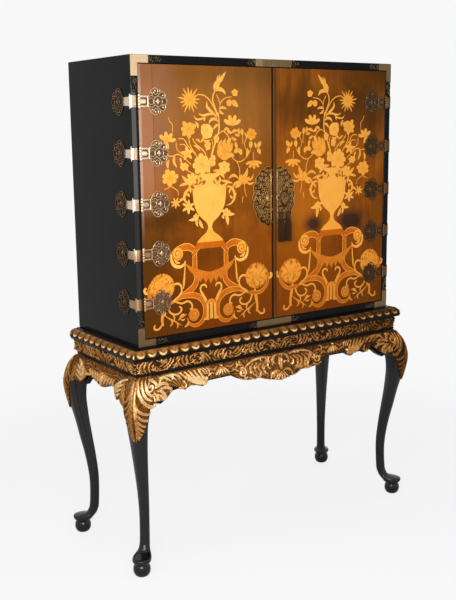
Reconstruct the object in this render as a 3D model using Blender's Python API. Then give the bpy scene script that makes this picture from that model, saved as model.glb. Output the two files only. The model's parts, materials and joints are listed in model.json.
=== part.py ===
"""Ebonised and gilt cabinet on a carved stand, with a pair of inset marquetry doors.

The case is a carcase of five boards whose front edges frame two doors on strap hinges.
It stands on a moulded tray, a frieze, shaped aprons and four cabriole legs.
X runs along the front, -Y faces the viewer, Z is up, and the origin lies on the floor
midway between the four feet. Sizes are metres.
"""

import math

import bmesh
import bpy
import numpy as np
from mathutils import Matrix, Vector

# Clearance between pieces that seat on each other
GAP = 0.0003

# Case
CASE_W = 1.040
CASE_D = 0.394
CASE_H = 0.859
BOARD_T = 0.024
BACK_T = 0.010
EDGE_ROUND = 0.0012

# Interior
SHELF_RISE = 0.290
SHELF_T = 0.018
DADO_DEPTH = 0.006
MIRROR_T = 0.004
GLASS_RISE = 0.250
GLASS_T = 0.006
GLASS_SET_BACK = 0.045
BEARER_W = 0.012
BEARER_H = 0.008

# Doors
DOOR_T = 0.022
DOOR_GAP = 0.0015
MEETING_GAP = 0.002
BEAD_W = 0.009
BEAD_PROUD = 0.003

# Sheet metal mounts and hinges
SHEET_T = 0.0016
HINGE_COUNT = 5
HINGE_END = 0.106
STRAP_H = 0.034
BARREL_H = 0.042
BARREL_R = 0.0042
PIN_R = 0.0016
KNUCKLE_H = 0.0120
ROLL_CLEAR = 0.0005
ROLL_SIDES = 10
NECK_H = 0.028
DOOR_NECK = 0.028
SIDE_NECK = 0.042
ROSETTE_W = 0.062
ROSETTE_H = 0.081
MOUNT_MARGIN = 0.001
CORNER_LEG = 0.105
CORNER_PLAIN = 0.060
RAIL_MOUNT_HALF = 0.105
RAIL_MOUNT_PLAIN = 0.072
ESCUTCHEON_W = 0.066
ESCUTCHEON_H = 0.184

# Lock, key and bolts
KEY_X = 0.0165
KEY_DROP = 0.006
SHANK_R = 0.0032
SHANK_CLEAR = 0.0010
BOW_R = 0.0225
BOW_WIRE = 0.0025
BOW_SIDES = 20
BOW_STAND_OFF = 0.036
BIT_REACH = 0.011
BIT_W = 0.003
LOCK_W = 0.056
LOCK_H = 0.086
LOCK_T = 0.015
LOCK_PLATE = 0.003
LOCK_SET_BACK = 0.003
BOLT_H = 0.010
BOLT_T = 0.006
BOLT_LEN = 0.036
BOLT_RISE = 0.020
BOLT_THROW = 0.010
BOLT_CLEAR = 0.0006
KEEP_W = 0.028
KEEP_H = 0.040
FLUSH_X = 0.034
FLUSH_W = 0.012
FLUSH_T = 0.006
FLUSH_LEN = 0.110
FLUSH_THROW = 0.012
STUD = 0.004

# Tassel
CORD_R = 0.0012
DROP_SPREAD = 0.0145
DROP_FALL = 0.022
DROP_LEN = 0.097
DROP_HEAD_R = 0.0085
DROP_SKIRT_R = 0.0115

# Stand
STAND_H = 0.717
TRAY_SIDE = 0.038
TRAY_FRONT = 0.037
CASE_OVERHANG = 0.004
TRAY_T = 0.034
TRAY_NOSE = 0.016
FRIEZE_H = 0.051
FRIEZE_INSET = 0.015
FRIEZE_LEAN = 0.004
FRIEZE_T = 0.042
FRIEZE_BEAD = 0.010
BEAD_STEP = 0.003
FOOT_INSET = 0.012
POST_IN = 0.055
APRON_T = 0.022
APRON_BULGE = 0.018
APRON_INSET = 0.019
APRON_BACK_H = 0.042

# Cabriole leg, measured on its diagonal from the foot's centre:
# height or position, outer reach, inner reach, half width, corner exponent
# (a lower exponent is squarer). Foot heights run up from the floor.
FOOT_STATIONS = (
    (0.000, 0.017, -0.017, 0.017, 2.0),
    (0.004, 0.022, -0.022, 0.022, 2.0),
    (0.012, 0.0262, -0.0262, 0.0262, 2.0),
    (0.021, 0.0275, -0.0275, 0.0275, 2.0),
    (0.031, 0.0262, -0.0262, 0.0262, 2.0),
    (0.038, 0.0225, -0.0225, 0.0225, 2.0),
    (0.041, 0.0230, -0.0260, 0.0240, 2.0),
    (0.046, 0.0300, -0.0320, 0.0285, 2.0),
    (0.053, 0.0325, -0.0375, 0.0300, 2.0),
    (0.059, 0.0290, -0.0425, 0.0285, 2.0),
    (0.063, 0.0100, -0.0455, 0.0250, 2.0),
    (0.069, -0.0120, -0.0500, 0.0200, 2.0),
    (0.080, -0.0210, -0.0550, 0.0172, 1.95),
    (0.100, -0.0275, -0.0600, 0.0163, 1.9),
)
# Shank positions are shares of the way from the last foot station to the knee.
SHANK_STATIONS = (
    (0.16, -0.0310, -0.0632, 0.0162, 1.85),
    (0.30, -0.0285, -0.0630, 0.0172, 1.75),
    (0.48, -0.0170, -0.0560, 0.0198, 1.6),
    (0.64, -0.0020, -0.0475, 0.0230, 1.5),
    (0.80, 0.0125, -0.0390, 0.0268, 1.42),
    (0.92, 0.0255, -0.0345, 0.0305, 1.36),
)
# Knee depths run down from the top of the leg.
KNEE_STATIONS = (
    (0.152, 0.0335, -0.0325, 0.0335, 1.32),
    (0.128, 0.0395, -0.0335, 0.0370, 1.28),
    (0.108, 0.0425, -0.0360, 0.0400, 1.26),
    (0.088, 0.0425, -0.0440, 0.0430, 1.2),
)
# Square post above the knee: depth below the top and outer reach of its arris
POST_STATIONS = (
    (0.076, 0.0412),
    (0.055, 0.0350),
    (0.034, 0.0250),
    (0.018, 0.0120),
    (0.007, 0.0010),
    (0.000, -0.0090),
)
LEG_SIDES = 16

# Drop of the apron's lower edge below its top, by distance from the leg post
FRONT_APRON_DROPS = (
    (0.000, 0.083),
    (0.012, 0.086),
    (0.026, 0.089),
    (0.044, 0.076),
    (0.064, 0.056),
    (0.092, 0.053),
    (0.108, 0.064),
    (0.120, 0.050),
    (0.150, 0.052),
    (0.180, 0.062),
    (0.200, 0.047),
    (0.290, 0.046),
    (0.325, 0.066),
    (0.365, 0.073),
    (0.400, 0.071),
    (0.430, 0.082),
    (0.470, 0.090),
    (0.4905, 0.094),
)
SIDE_APRON_DROPS = (
    (0.000, 0.083),
    (0.010, 0.086),
    (0.022, 0.089),
    (0.036, 0.074),
    (0.052, 0.056),
    (0.068, 0.062),
    (0.078, 0.048),
    (0.098, 0.050),
    (0.122, 0.064),
    (0.1465, 0.068),
)
FRONT_COLUMNS = 44
SIDE_COLUMNS = 26

# Places that follow from the sizes above
STAND_W = CASE_W + 2 * TRAY_SIDE
STAND_D = CASE_D + TRAY_FRONT - CASE_OVERHANG
CASE_FRONT = -STAND_D / 2 + TRAY_FRONT
CASE_BACK = CASE_FRONT + CASE_D
CASE_TOP = STAND_H + CASE_H
INNER_X = CASE_W / 2 - BOARD_T
INNER_FLOOR = STAND_H + BOARD_T
INNER_TOP = CASE_TOP - BOARD_T
INNER_BACK = CASE_BACK - BACK_T
DOOR_BACK = CASE_FRONT + DOOR_T
DOOR_LOW = INNER_FLOOR + DOOR_GAP
DOOR_HIGH = INNER_TOP - DOOR_GAP
DOOR_MID = (DOOR_LOW + DOOR_HIGH) / 2
HINGE_PITCH = (DOOR_HIGH - DOOR_LOW - 2 * HINGE_END) / (HINGE_COUNT - 1)
SHELF_TOP = INNER_FLOOR + SHELF_RISE
GLASS_BASE = SHELF_TOP + GLASS_RISE
HINGE_X = INNER_X - DOOR_GAP / 2
HINGE_Y = CASE_FRONT - GAP - BARREL_R
FACE_Y = CASE_FRONT - GAP
KEY_Z = DOOR_MID - KEY_DROP
BOW_Y = CASE_FRONT - BOW_STAND_OFF
WIRE_Z = KEY_Z - BOW_R
TRAY_LOW = STAND_H - GAP - TRAY_T
FRIEZE_LOW = TRAY_LOW - GAP - FRIEZE_H
LEG_TOP = FRIEZE_LOW - GAP
FOOT_X = STAND_W / 2 - FOOT_INSET
FOOT_Y = STAND_D / 2 - FOOT_INSET


def clear_scene():
    """Remove every object that the open file holds."""
    for old in list(bpy.data.objects):
        bpy.data.objects.remove(old, do_unlink=True)


def material(name, colour, roughness, metallic=0.0):
    """Principled material with one colour."""
    made = bpy.data.materials.new(name)
    made.use_nodes = True
    shader = made.node_tree.nodes["Principled BSDF"]
    shader.inputs["Base Color"].default_value = (*colour, 1.0)
    shader.inputs["Roughness"].default_value = roughness
    shader.inputs["Metallic"].default_value = metallic
    return made


def anchor(name, place, parent=None):
    """Empty that carries the pieces of one moving assembly, on its joint axis."""
    empty = bpy.data.objects.new(name, None)
    bpy.context.collection.objects.link(empty)
    empty.parent = parent
    empty["place"] = place
    start = Vector(parent["place"]) if parent else Vector((0, 0, 0))
    empty.location = Vector(place) - start
    return empty


def add(name, bm, finish, origin=(0, 0, 0), parent=None, smooth=None):
    """Link a bmesh in world coordinates as a named object with its own origin."""
    bmesh.ops.recalc_face_normals(bm, faces=bm.faces[:])
    bmesh.ops.translate(bm, verts=bm.verts[:], vec=-Vector(origin))
    mesh = bpy.data.meshes.new(name)
    bm.to_mesh(mesh)
    bm.free()
    if smooth is not None:
        mesh.shade_smooth()
        mesh.set_sharp_from_angle(angle=math.radians(smooth))
    mesh.materials.append(finish)
    return link(name, mesh, origin, parent)


def link(name, mesh, origin, parent=None):
    """Place a mesh, possibly shared, as an object at its origin."""
    made = bpy.data.objects.new(name, mesh)
    bpy.context.collection.objects.link(made)
    made.parent = parent
    start = Vector(parent["place"]) if parent else Vector((0, 0, 0))
    made.location = Vector(origin) - start
    return made


def block(low, high):
    """Box between two corners."""
    bm = bmesh.new()
    size = Vector(high) - Vector(low)
    middle = (Vector(high) + Vector(low)) / 2
    bmesh.ops.create_cube(bm, size=1.0, matrix=Matrix.Translation(middle) @ Matrix.Diagonal((*size, 1.0)))
    return bm


def board(low, high):
    """Box with eased arrises."""
    bm = block(low, high)
    bmesh.ops.bevel(bm, geom=bm.edges[:], offset=EDGE_ROUND, segments=1, affect="EDGES")
    return bm


def loft(sections, ring=False):
    """Skin a row of equal loops, capped at both ends or joined end to end."""
    bm = bmesh.new()
    loops = [[bm.verts.new(point) for point in section] for section in sections]
    pairs = list(zip(loops, loops[1:]))
    if ring:
        pairs.append((loops[-1], loops[0]))
    for near, far in pairs:
        for i in range(len(near)):
            k = (i + 1) % len(near)
            bm.faces.new((near[i], near[k], far[k], far[i]))
    if not ring:
        bm.faces.new(loops[0])
        bm.faces.new(loops[-1])
    return bm


def plate(outline, holes, thickness, place):
    """Flat sheet with pierced holes, drawn in its own plane and placed by a matrix."""
    bm = bmesh.new()
    for loop in (outline, *holes):
        verts = [bm.verts.new((u, v, 0.0)) for u, v in loop]
        for near, far in zip(verts, verts[1:] + verts[:1]):
            bm.edges.new((near, far))
    bmesh.ops.triangle_fill(bm, edges=bm.edges[:], use_beauty=True)
    grown = bmesh.ops.extrude_face_region(bm, geom=bm.faces[:])
    lifted = [item for item in grown["geom"] if isinstance(item, bmesh.types.BMVert)]
    bmesh.ops.translate(bm, verts=lifted, vec=(0, 0, thickness))
    bmesh.ops.transform(bm, matrix=place, verts=bm.verts[:])
    bmesh.ops.recalc_face_normals(bm, faces=bm.faces[:])
    return bm


def turned(profile, sides, place):
    """Solid of revolution from (radius, height) pairs; its axis is the matrix's Z."""
    angles = [2 * math.pi * k / sides for k in range(sides)]
    rings = [[(r * math.cos(a), r * math.sin(a), h) for a in angles] for r, h in profile]
    bm = loft(rings)
    bmesh.ops.transform(bm, matrix=place, verts=bm.verts[:])
    bmesh.ops.recalc_face_normals(bm, faces=bm.faces[:])
    return bm


def tube(points, radius, sides):
    """Round cord along a path that lies in one plane of constant Y."""
    path = [Vector(p) for p in points]
    across = Vector((0, 1, 0))
    rings = []
    for i, point in enumerate(path):
        ahead = path[min(i + 1, len(path) - 1)]
        behind = path[max(i - 1, 0)]
        side = across.cross((ahead - behind).normalized())
        turns = [2 * math.pi * k / sides for k in range(sides)]
        rings.append([point + radius * (math.cos(t) * across + math.sin(t) * side) for t in turns])
    return loft(rings)


def combine(base, tool, operation):
    """Exact Boolean of two closed meshes, as a new bmesh."""
    bodies = []
    for bm in (base, tool):
        bmesh.ops.recalc_face_normals(bm, faces=bm.faces[:])
        mesh = bpy.data.meshes.new("working body")
        bm.to_mesh(mesh)
        bm.free()
        body = bpy.data.objects.new("working body", mesh)
        bpy.context.collection.objects.link(body)
        bodies.append(body)
    cut = bodies[0].modifiers.new("boolean", "BOOLEAN")
    cut.operation = operation
    cut.solver = "EXACT"
    cut.object = bodies[1]
    whole = bodies[0].evaluated_get(bpy.context.evaluated_depsgraph_get()).to_mesh()
    result = bmesh.new()
    result.from_mesh(whole)
    for body in bodies:
        mesh = body.data
        bpy.data.objects.remove(body, do_unlink=True)
        bpy.data.meshes.remove(mesh)
    return result


def union(*bodies):
    """Join closed bodies that run into each other."""
    whole = bodies[0]
    for body in bodies[1:]:
        whole = combine(whole, body, "UNION")
    return whole


def cut_out(base, *tools):
    """Take closed tools out of a body."""
    for tool in tools:
        base = combine(base, tool, "DIFFERENCE")
    return base


def front_plane(side=1):
    """Matrix that lays a drawing on the front: u along X away from the middle, w towards the viewer."""
    return Matrix(((side, 0, 0, 0), (0, 0, -1, FACE_Y), (0, 1, 0, 0), (0, 0, 0, 1)))


def flank_plane(side):
    """Matrix that lays a drawing on a case side: u runs back from the front face, w points outwards."""
    reach = CASE_W / 2 + GAP
    return Matrix(((0, 0, side, side * reach), (1, 0, 0, CASE_FRONT), (0, 1, 0, 0), (0, 0, 0, 1)))


def arc(centre, radius, start, end, count):
    """Points on a circular arc, angles in degrees."""
    turns = [math.radians(start + (end - start) * k / (count - 1)) for k in range(count)]
    return [(centre[0] + radius * math.cos(t), centre[1] + radius * math.sin(t)) for t in turns]


def rosette(neck_u, neck_half, count=16):
    """Lobed outline of a pierced leaf, from its neck round and back, and its piercings."""
    middle = neck_u + ROSETTE_W / 2
    half_w = ROSETTE_W / 2
    half_h = ROSETTE_H / 2
    start = math.pi - math.asin(neck_half / half_h)
    outline = []
    for k in range(count + 1):
        turn = -start + 2 * start * k / count
        swell = 1 - 0.09 * (1 - math.cos(6 * turn))
        outline.append((middle + half_w * swell * math.cos(turn), half_h * swell * math.sin(turn)))
    holes = []
    for degrees in (-120, -60, 0, 60, 120):
        turn = math.radians(degrees)
        eye = (middle + 0.56 * half_w * math.cos(turn), 0.56 * half_h * math.sin(turn))
        holes.append(arc(eye, 0.17 * half_h, 0, 288, 5))
    return outline, holes


def horseshoe(near, far, half):
    """Curved slot that leaves a tongue of sheet in a hinge's neck."""
    middle = (near + far) / 2
    outer = (far - near) / 2
    inner = outer * 0.62
    stretch = half / outer
    bow = arc((middle, 0), outer, -115, 115, 6) + arc((middle, 0), inner, 115, -115, 5)
    return [(u, v * stretch) for u, v in bow]


def hinge_door_leaf(side, finish):
    """Leaf on the door: rolled knuckle, neck with a horseshoe slot, pierced rosette."""
    half = STRAP_H / 2
    clear = BARREL_R + ROLL_CLEAR
    knuckle = KNUCKLE_H / 2 - GAP
    lobes, holes = rosette(DOOR_NECK, NECK_H / 2)
    tongue = [(0.2 * BARREL_R, knuckle), (0.2 * BARREL_R, -knuckle), (clear, -knuckle), (clear, -half)]
    outline = [*tongue, (clear + half / 4, -half), *lobes, (clear + half / 4, half), (clear, half), (clear, knuckle)]
    slot = horseshoe(clear + half / 4, DOOR_NECK - half / 8, NECK_H * 0.36)
    place = Matrix.Translation((side * HINGE_X, 0, 0)) @ front_plane(-side)
    leaf = plate(outline, [slot, *holes], SHEET_T, place)
    ring = ((PIN_R + GAP, -knuckle), (BARREL_R, -knuckle), (BARREL_R, knuckle), (PIN_R + GAP, knuckle))
    axis = Matrix.Translation((side * HINGE_X, HINGE_Y, 0))
    turns = [2 * math.pi * k / ROLL_SIDES for k in range(ROLL_SIDES)]
    roll = loft([[(r * math.cos(t), r * math.sin(t), h) for r, h in ring] for t in turns], ring=True)
    bmesh.ops.transform(roll, matrix=axis, verts=roll.verts[:])
    return add("door leaf", union(leaf, roll), finish, (side * HINGE_X, HINGE_Y, 0))


def hinge_case_leaf(side, finish):
    """Leaf on the case: two knuckles with the pin, strap over the stile, pierced rosette on the flank."""
    half = STRAP_H / 2
    clear = BARREL_R + ROLL_CLEAR
    knuckle = KNUCKLE_H / 2
    reach = CASE_W / 2 + GAP + SHEET_T - HINGE_X
    near = 0.2 * BARREL_R
    strap_top = [(near, knuckle), (clear, knuckle), (clear, -knuckle), (near, -knuckle), (near, -half)]
    strap = [*strap_top, (reach, -half), (reach, half), (near, half)]
    front = plate(strap, [], SHEET_T, Matrix.Translation((side * HINGE_X, 0, 0)) @ front_plane(side))
    lobes, holes = rosette(SIDE_NECK, NECK_H / 2)
    corner = -GAP - SHEET_T / 2
    neck = [(corner, -half), (half / 2, -half), (half, -NECK_H / 2), *lobes, (half, NECK_H / 2), (half / 2, half)]
    flank = plate([*neck, (corner, half)], holes, SHEET_T, flank_plane(side))
    tall = BARREL_H / 2
    profile = ((BARREL_R * 0.6, -tall), (BARREL_R, -tall + BARREL_R * 0.4), (BARREL_R, -knuckle), (PIN_R, -knuckle))
    pin = [*profile, *[(r, -h) for r, h in reversed(profile)]]
    barrel = turned(pin, ROLL_SIDES, Matrix.Translation((side * HINGE_X, HINGE_Y, 0)))
    return add("case leaf", union(front, flank, barrel), finish, (side * HINGE_X, HINGE_Y, 0))


def make_case(ebony, lining, mirror, glass, brass):
    """Carcase boards, the shelf housed between them, and the fittings of the upper part."""
    housing = DADO_DEPTH + GAP
    shelf_low = SHELF_TOP - SHELF_T
    for name, side in (("case_side_left", -1), ("case_side_right", 1)):
        xs = sorted((side * INNER_X, side * CASE_W / 2))
        flank = board((xs[0], CASE_FRONT, STAND_H), (xs[1], CASE_BACK, CASE_TOP))
        groove_x = sorted((side * (INNER_X - BOARD_T), side * (INNER_X + housing)))
        low = (groove_x[0], DOOR_BACK, shelf_low - GAP)
        groove = block(low, (groove_x[1], INNER_BACK, SHELF_TOP + GAP))
        add(name, cut_out(flank, groove), ebony)
    span = INNER_X - GAP
    socket = BOLT_CLEAR + FLUSH_W / 2
    back_edge = INNER_BACK - GAP
    for name, low, high, mouth in (
        ("case_bottom", STAND_H, INNER_FLOOR, INNER_FLOOR),
        ("case_top", INNER_TOP, CASE_TOP, INNER_TOP),
    ):
        level = board((-span, CASE_FRONT, low), (span, back_edge, high))
        mortise = block(
            (-FLUSH_X - socket, DOOR_BACK - FLUSH_T - BOLT_CLEAR, mouth - FLUSH_THROW),
            (-FLUSH_X + socket, DOOR_BACK + BOLT_CLEAR, mouth + FLUSH_THROW),
        )
        add(name, cut_out(level, mortise), ebony)
    add("case_back", block((-span, INNER_BACK, STAND_H), (span, CASE_BACK, CASE_TOP)), lining)
    ends = INNER_X + DADO_DEPTH
    add("shelf", block((-ends, DOOR_BACK + GAP, shelf_low), (ends, back_edge, SHELF_TOP)), lining)
    silver = back_edge - MIRROR_T
    add("back_mirror", block((-span, silver, SHELF_TOP + GAP), (span, back_edge, INNER_TOP - GAP)), mirror)
    front = DOOR_BACK + GLASS_SET_BACK
    rear = silver - GAP
    add("glass_shelf", block((-span, front, GLASS_BASE), (span, rear, GLASS_BASE + GLASS_T)), glass)
    for name, side in (("shelf_bearer_left", -1), ("shelf_bearer_right", 1)):
        xs = sorted((side * span, side * (span - BEARER_W)))
        top = GLASS_BASE - GAP
        add(name, block((xs[0], front, top - BEARER_H), (xs[1], rear, top)), brass)


def leaf_end(start, tip, half):
    """Upper half of a foliate mount end, from its plain part to its tip."""
    length = tip - start
    shares = ((0.12, 0.62), (0.30, 0.98), (0.46, 0.80), (0.62, 0.52), (0.80, 0.66), (0.94, 0.40))
    return [(start + length * share, half * wide) for share, wide in shares] + [(tip, 0.0)]


def make_mounts(brass):
    """Sheet brass mounts on the frame: four angles and two rail straps, with pierced foliate ends."""
    half = BOARD_T / 2 - MOUNT_MARGIN
    edge = CASE_W / 2 - MOUNT_MARGIN
    eye_r = half * 0.3
    line = edge - half
    end = leaf_end(CORNER_PLAIN, CORNER_LEG, half)
    upper = [(u, half + v) for u, v in end]
    lower = [(u, half - v) for u, v in reversed(end[:-1])]
    arm = [(CORNER_PLAIN, 2 * half), *upper, *lower, (CORNER_PLAIN, 0.0)]
    inside = [(2 * half, 2 * half)]
    outline = [(0.0, 0.0), *[(v, u) for u, v in reversed(arm)], *inside, *arm]
    eye = CORNER_PLAIN + 0.32 * (CORNER_LEG - CORNER_PLAIN)
    holes = [arc((eye, half), eye_r, 0, 288, 5), arc((half, eye), eye_r, 0, 288, 5)]
    for rim, z, rise in (("bottom", STAND_H + MOUNT_MARGIN, 1), ("top", CASE_TOP - MOUNT_MARGIN, -1)):
        for name, side in (("left", -1), ("right", 1)):
            frame = Matrix(((-side, 0, 0, side * edge), (0, 0, -1, FACE_Y), (0, rise, 0, z), (0, 0, 0, 1)))
            add(f"corner_mount_{rim}_{name}", plate(outline, holes, SHEET_T, frame), brass)
    end = leaf_end(RAIL_MOUNT_PLAIN, RAIL_MOUNT_HALF, half)
    quarter = [(RAIL_MOUNT_PLAIN, half), *end]
    right = [*[(u, -v) for u, v in quarter[:-1]], *reversed(quarter)]
    outline = [*right, *[(-u, -v) for u, v in right]]
    eye = RAIL_MOUNT_PLAIN + 0.32 * (RAIL_MOUNT_HALF - RAIL_MOUNT_PLAIN)
    holes = [arc((sign * eye, 0), eye_r, 0, 288, 5) for sign in (-1, 1)]
    for name, z in (("rail_mount_bottom", STAND_H + BOARD_T / 2), ("rail_mount_top", CASE_TOP - BOARD_T / 2)):
        place = Matrix.Translation((0, 0, z)) @ front_plane()
        add(name, plate(outline, holes, SHEET_T, place), brass)


def keyhole(low, high):
    """Closed tool for the shank's bore and the bit's slot below it, along Y between two depths."""
    bore = SHANK_R + SHANK_CLEAR
    slot = BIT_W / 2 + SHANK_CLEAR
    turn = math.degrees(math.asin(slot / bore))
    foot = KEY_Z - BIT_REACH - SHANK_CLEAR
    outline = [*arc((KEY_X, KEY_Z), bore, -90 + turn, 270 - turn, 13), (KEY_X - slot, foot), (KEY_X + slot, foot)]
    frame = Matrix(((1, 0, 0, 0), (0, 0, 1, low), (0, 1, 0, 0), (0, 0, 0, 1)))
    return plate(outline, [], high - low, frame)


def make_doors(walnut, ebony, hangers):
    """The pair of inset doors and the bead on the meeting edge of the right one."""
    inner = MEETING_GAP / 2
    outer = INNER_X - DOOR_GAP
    left = board((-outer, CASE_FRONT, DOOR_LOW), (-inner, DOOR_BACK, DOOR_HIGH))
    slot = FLUSH_W / 2 + GAP
    depth = DOOR_BACK - FLUSH_T - GAP
    for low, high in (
        (DOOR_HIGH - FLUSH_LEN - FLUSH_THROW, DOOR_HIGH + FLUSH_THROW),
        (DOOR_LOW - FLUSH_THROW, DOOR_LOW + FLUSH_LEN + FLUSH_THROW),
    ):
        groove = block((-FLUSH_X - slot, depth, low), (-FLUSH_X + slot, DOOR_BACK + FLUSH_T, high))
        left = cut_out(left, groove)
    right = board((inner, CASE_FRONT, DOOR_LOW), (outer, DOOR_BACK, DOOR_HIGH))
    right = cut_out(right, keyhole(CASE_FRONT - DOOR_T, DOOR_BACK + DOOR_T))
    for name, body in (("left", left), ("right", right)):
        add(f"door_{name}", body, walnut, hangers[name]["place"], hangers[name])
    start = FACE_Y
    bead = [(inner, start), (inner + BEAD_W, start), (inner + BEAD_W * 0.85, start - BEAD_PROUD * 0.8)]
    bead += [(inner + BEAD_W / 2, start - BEAD_PROUD), (inner + BEAD_W * 0.15, start - BEAD_PROUD * 0.8)]
    strip = loft([[(x, y, z) for x, y in bead] for z in (DOOR_LOW, DOOR_HIGH)])
    add("meeting_bead", strip, ebony, (inner, start, DOOR_MID), hangers["right"])


def make_escutcheons(brass, hangers):
    """Half oval pierced plates on both doors; the right one has the keyhole."""
    half_h = ESCUTCHEON_H / 2
    outline = []
    for k in range(25):
        turn = math.pi * (k / 24 - 0.5)
        swell = 1 - 0.05 * (1 + math.cos(10 * turn))
        outline.append((ESCUTCHEON_W * swell * math.cos(turn), half_h * swell * math.sin(turn)))
    holes = []
    for degrees in (-68, -36, 0, 36, 68):
        turn = math.radians(degrees)
        eye = (0.74 * ESCUTCHEON_W * math.cos(turn), 0.74 * half_h * math.sin(turn))
        holes.append(arc(eye, 0.13 * ESCUTCHEON_W, 0, 300, 6))
    start = MEETING_GAP / 2 + BEAD_W + GAP
    for name, side in (("left", -1), ("right", 1)):
        body = plate(outline, holes, SHEET_T, Matrix.Translation((side * start, 0, DOOR_MID)) @ front_plane(side))
        if name == "right":
            body = cut_out(body, keyhole(FACE_Y - SHEET_T * 2, FACE_Y + SHEET_T))
        add(f"escutcheon_{name}", body, brass, (side * start, FACE_Y, DOOR_MID), hangers[name])


def make_lock(brass, steel, silk, hangers):
    """Rim lock behind the right door, its bolt, the key with its tassel, and the keep on the left door."""
    inner = MEETING_GAP / 2 + LOCK_SET_BACK
    start = DOOR_BACK + GAP
    low = (inner, start, KEY_Z - LOCK_H / 2)
    box = block(low, (inner + LOCK_W, start + LOCK_T, KEY_Z + LOCK_H / 2))
    turn_room = BIT_REACH + SHANK_CLEAR
    inwards = Matrix(((1, 0, 0, KEY_X), (0, 0, 1, start - LOCK_T), (0, -1, 0, KEY_Z), (0, 0, 0, 1)))
    chamber = turned(((turn_room, 0.0), (turn_room, 2 * LOCK_T - LOCK_PLATE)), 20, inwards)
    bolt_z = KEY_Z + BOLT_RISE
    bolt_y = start + LOCK_T / 2
    low = (inner - LOCK_W, bolt_y - BOLT_T / 2 - BOLT_CLEAR, bolt_z - BOLT_H / 2 - BOLT_CLEAR)
    high = (inner + BOLT_LEN + BOLT_CLEAR, bolt_y + BOLT_T / 2 + BOLT_CLEAR, bolt_z + BOLT_H / 2 + BOLT_CLEAR)
    add("lock_case", cut_out(box, chamber, block(low, high)), brass, (inner, start, KEY_Z), hangers["right"])
    bar = block(
        (inner, bolt_y - BOLT_T / 2, bolt_z - BOLT_H / 2),
        (inner + BOLT_LEN, bolt_y + BOLT_T / 2, bolt_z + BOLT_H / 2),
    )
    add("lock_bolt", bar, steel, (inner, bolt_y, bolt_z), hangers["right"])
    low = (-inner - KEEP_W, start, bolt_z - KEEP_H / 2)
    keep = block(low, (-inner, start + LOCK_T, bolt_z + KEEP_H / 2))
    low = (-inner - BOLT_THROW, bolt_y - BOLT_T / 2 - BOLT_CLEAR, bolt_z - BOLT_H / 2 - BOLT_CLEAR)
    mouth = block(low, (inner, bolt_y + BOLT_T / 2 + BOLT_CLEAR, bolt_z + BOLT_H / 2 + BOLT_CLEAR))
    add("strike_keep", cut_out(keep, mouth), brass, (-inner, start, bolt_z), hangers["left"])
    make_key(start + LOCK_T - LOCK_PLATE - GAP, steel, silk, hangers["right"])


def make_key(tip, steel, silk, hanger):
    """Key standing in the lock, bow upright in the plane of its shank, and a twin tassel on the bow."""
    turner = anchor("key_axis", (KEY_X, BOW_Y, KEY_Z), hanger)
    outward = Matrix(((1, 0, 0, KEY_X), (0, 0, 1, BOW_Y), (0, -1, 0, KEY_Z), (0, 0, 0, 1)))
    neck = BOW_R - BOW_WIRE / 2
    collar = CASE_FRONT - SHEET_T - 2 * GAP - BOW_Y
    profile = (
        (SHANK_R * 0.8, neck),
        (SHANK_R * 1.5, neck + (collar - neck) * 0.3),
        (SHANK_R * 1.5, neck + (collar - neck) * 0.7),
        (SHANK_R, collar),
        (SHANK_R, tip - BOW_Y),
    )
    shank = turned(profile, 12, outward)
    wire = []
    for k in range(BOW_SIDES):
        turn = 2 * math.pi * k / BOW_SIDES
        hub = Vector((KEY_X, BOW_Y + BOW_R * math.cos(turn), KEY_Z + BOW_R * math.sin(turn)))
        out = Vector((0, math.cos(turn), math.sin(turn)))
        around = [2 * math.pi * j / 6 for j in range(6)]
        wire.append([hub + BOW_WIRE * (math.cos(a) * out + Vector((math.sin(a), 0, 0))) for a in around])
    bow = loft(wire, ring=True)
    bit_start = DOOR_BACK + GAP + SHANK_CLEAR
    low = (KEY_X - BIT_W / 2, bit_start, KEY_Z - BIT_REACH)
    bit = block(low, (KEY_X + BIT_W / 2, tip - SHANK_CLEAR, KEY_Z))
    add("key", union(shank, bow, bit), steel, turner["place"], turner, smooth=40)
    over = BOW_WIRE + GAP + CORD_R
    path = [(-DROP_SPREAD, -DROP_FALL - DROP_HEAD_R / 2), (-DROP_SPREAD, -DROP_FALL), (-2.2 * over, -2 * over)]
    path += arc((0, 0), over, 165, 15, 7)
    path += [(-u, v) for u, v in reversed(path[:3])]
    loop = tube([(KEY_X + u, BOW_Y, WIRE_Z + v) for u, v in path], CORD_R, 8)
    drop = (
        (CORD_R * 1.6, 0.0),
        (DROP_HEAD_R * 0.8, -DROP_HEAD_R * 0.35),
        (DROP_HEAD_R, -DROP_HEAD_R),
        (DROP_HEAD_R * 0.82, -DROP_HEAD_R * 1.8),
        (DROP_HEAD_R * 0.86, -DROP_HEAD_R * 2.1),
        (DROP_SKIRT_R * 0.9, -DROP_HEAD_R * 3.4),
        (DROP_SKIRT_R, -DROP_LEN),
    )
    for side in (-1, 1):
        top = (KEY_X + side * DROP_SPREAD, BOW_Y, WIRE_Z - DROP_FALL)
        loop = union(loop, turned(drop, 10, Matrix.Translation(top)))
    hook = anchor("tassel_axis", (KEY_X, BOW_Y, WIRE_Z), turner)
    add("tassel", loop, silk, hook["place"], hook, smooth=50)


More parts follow.
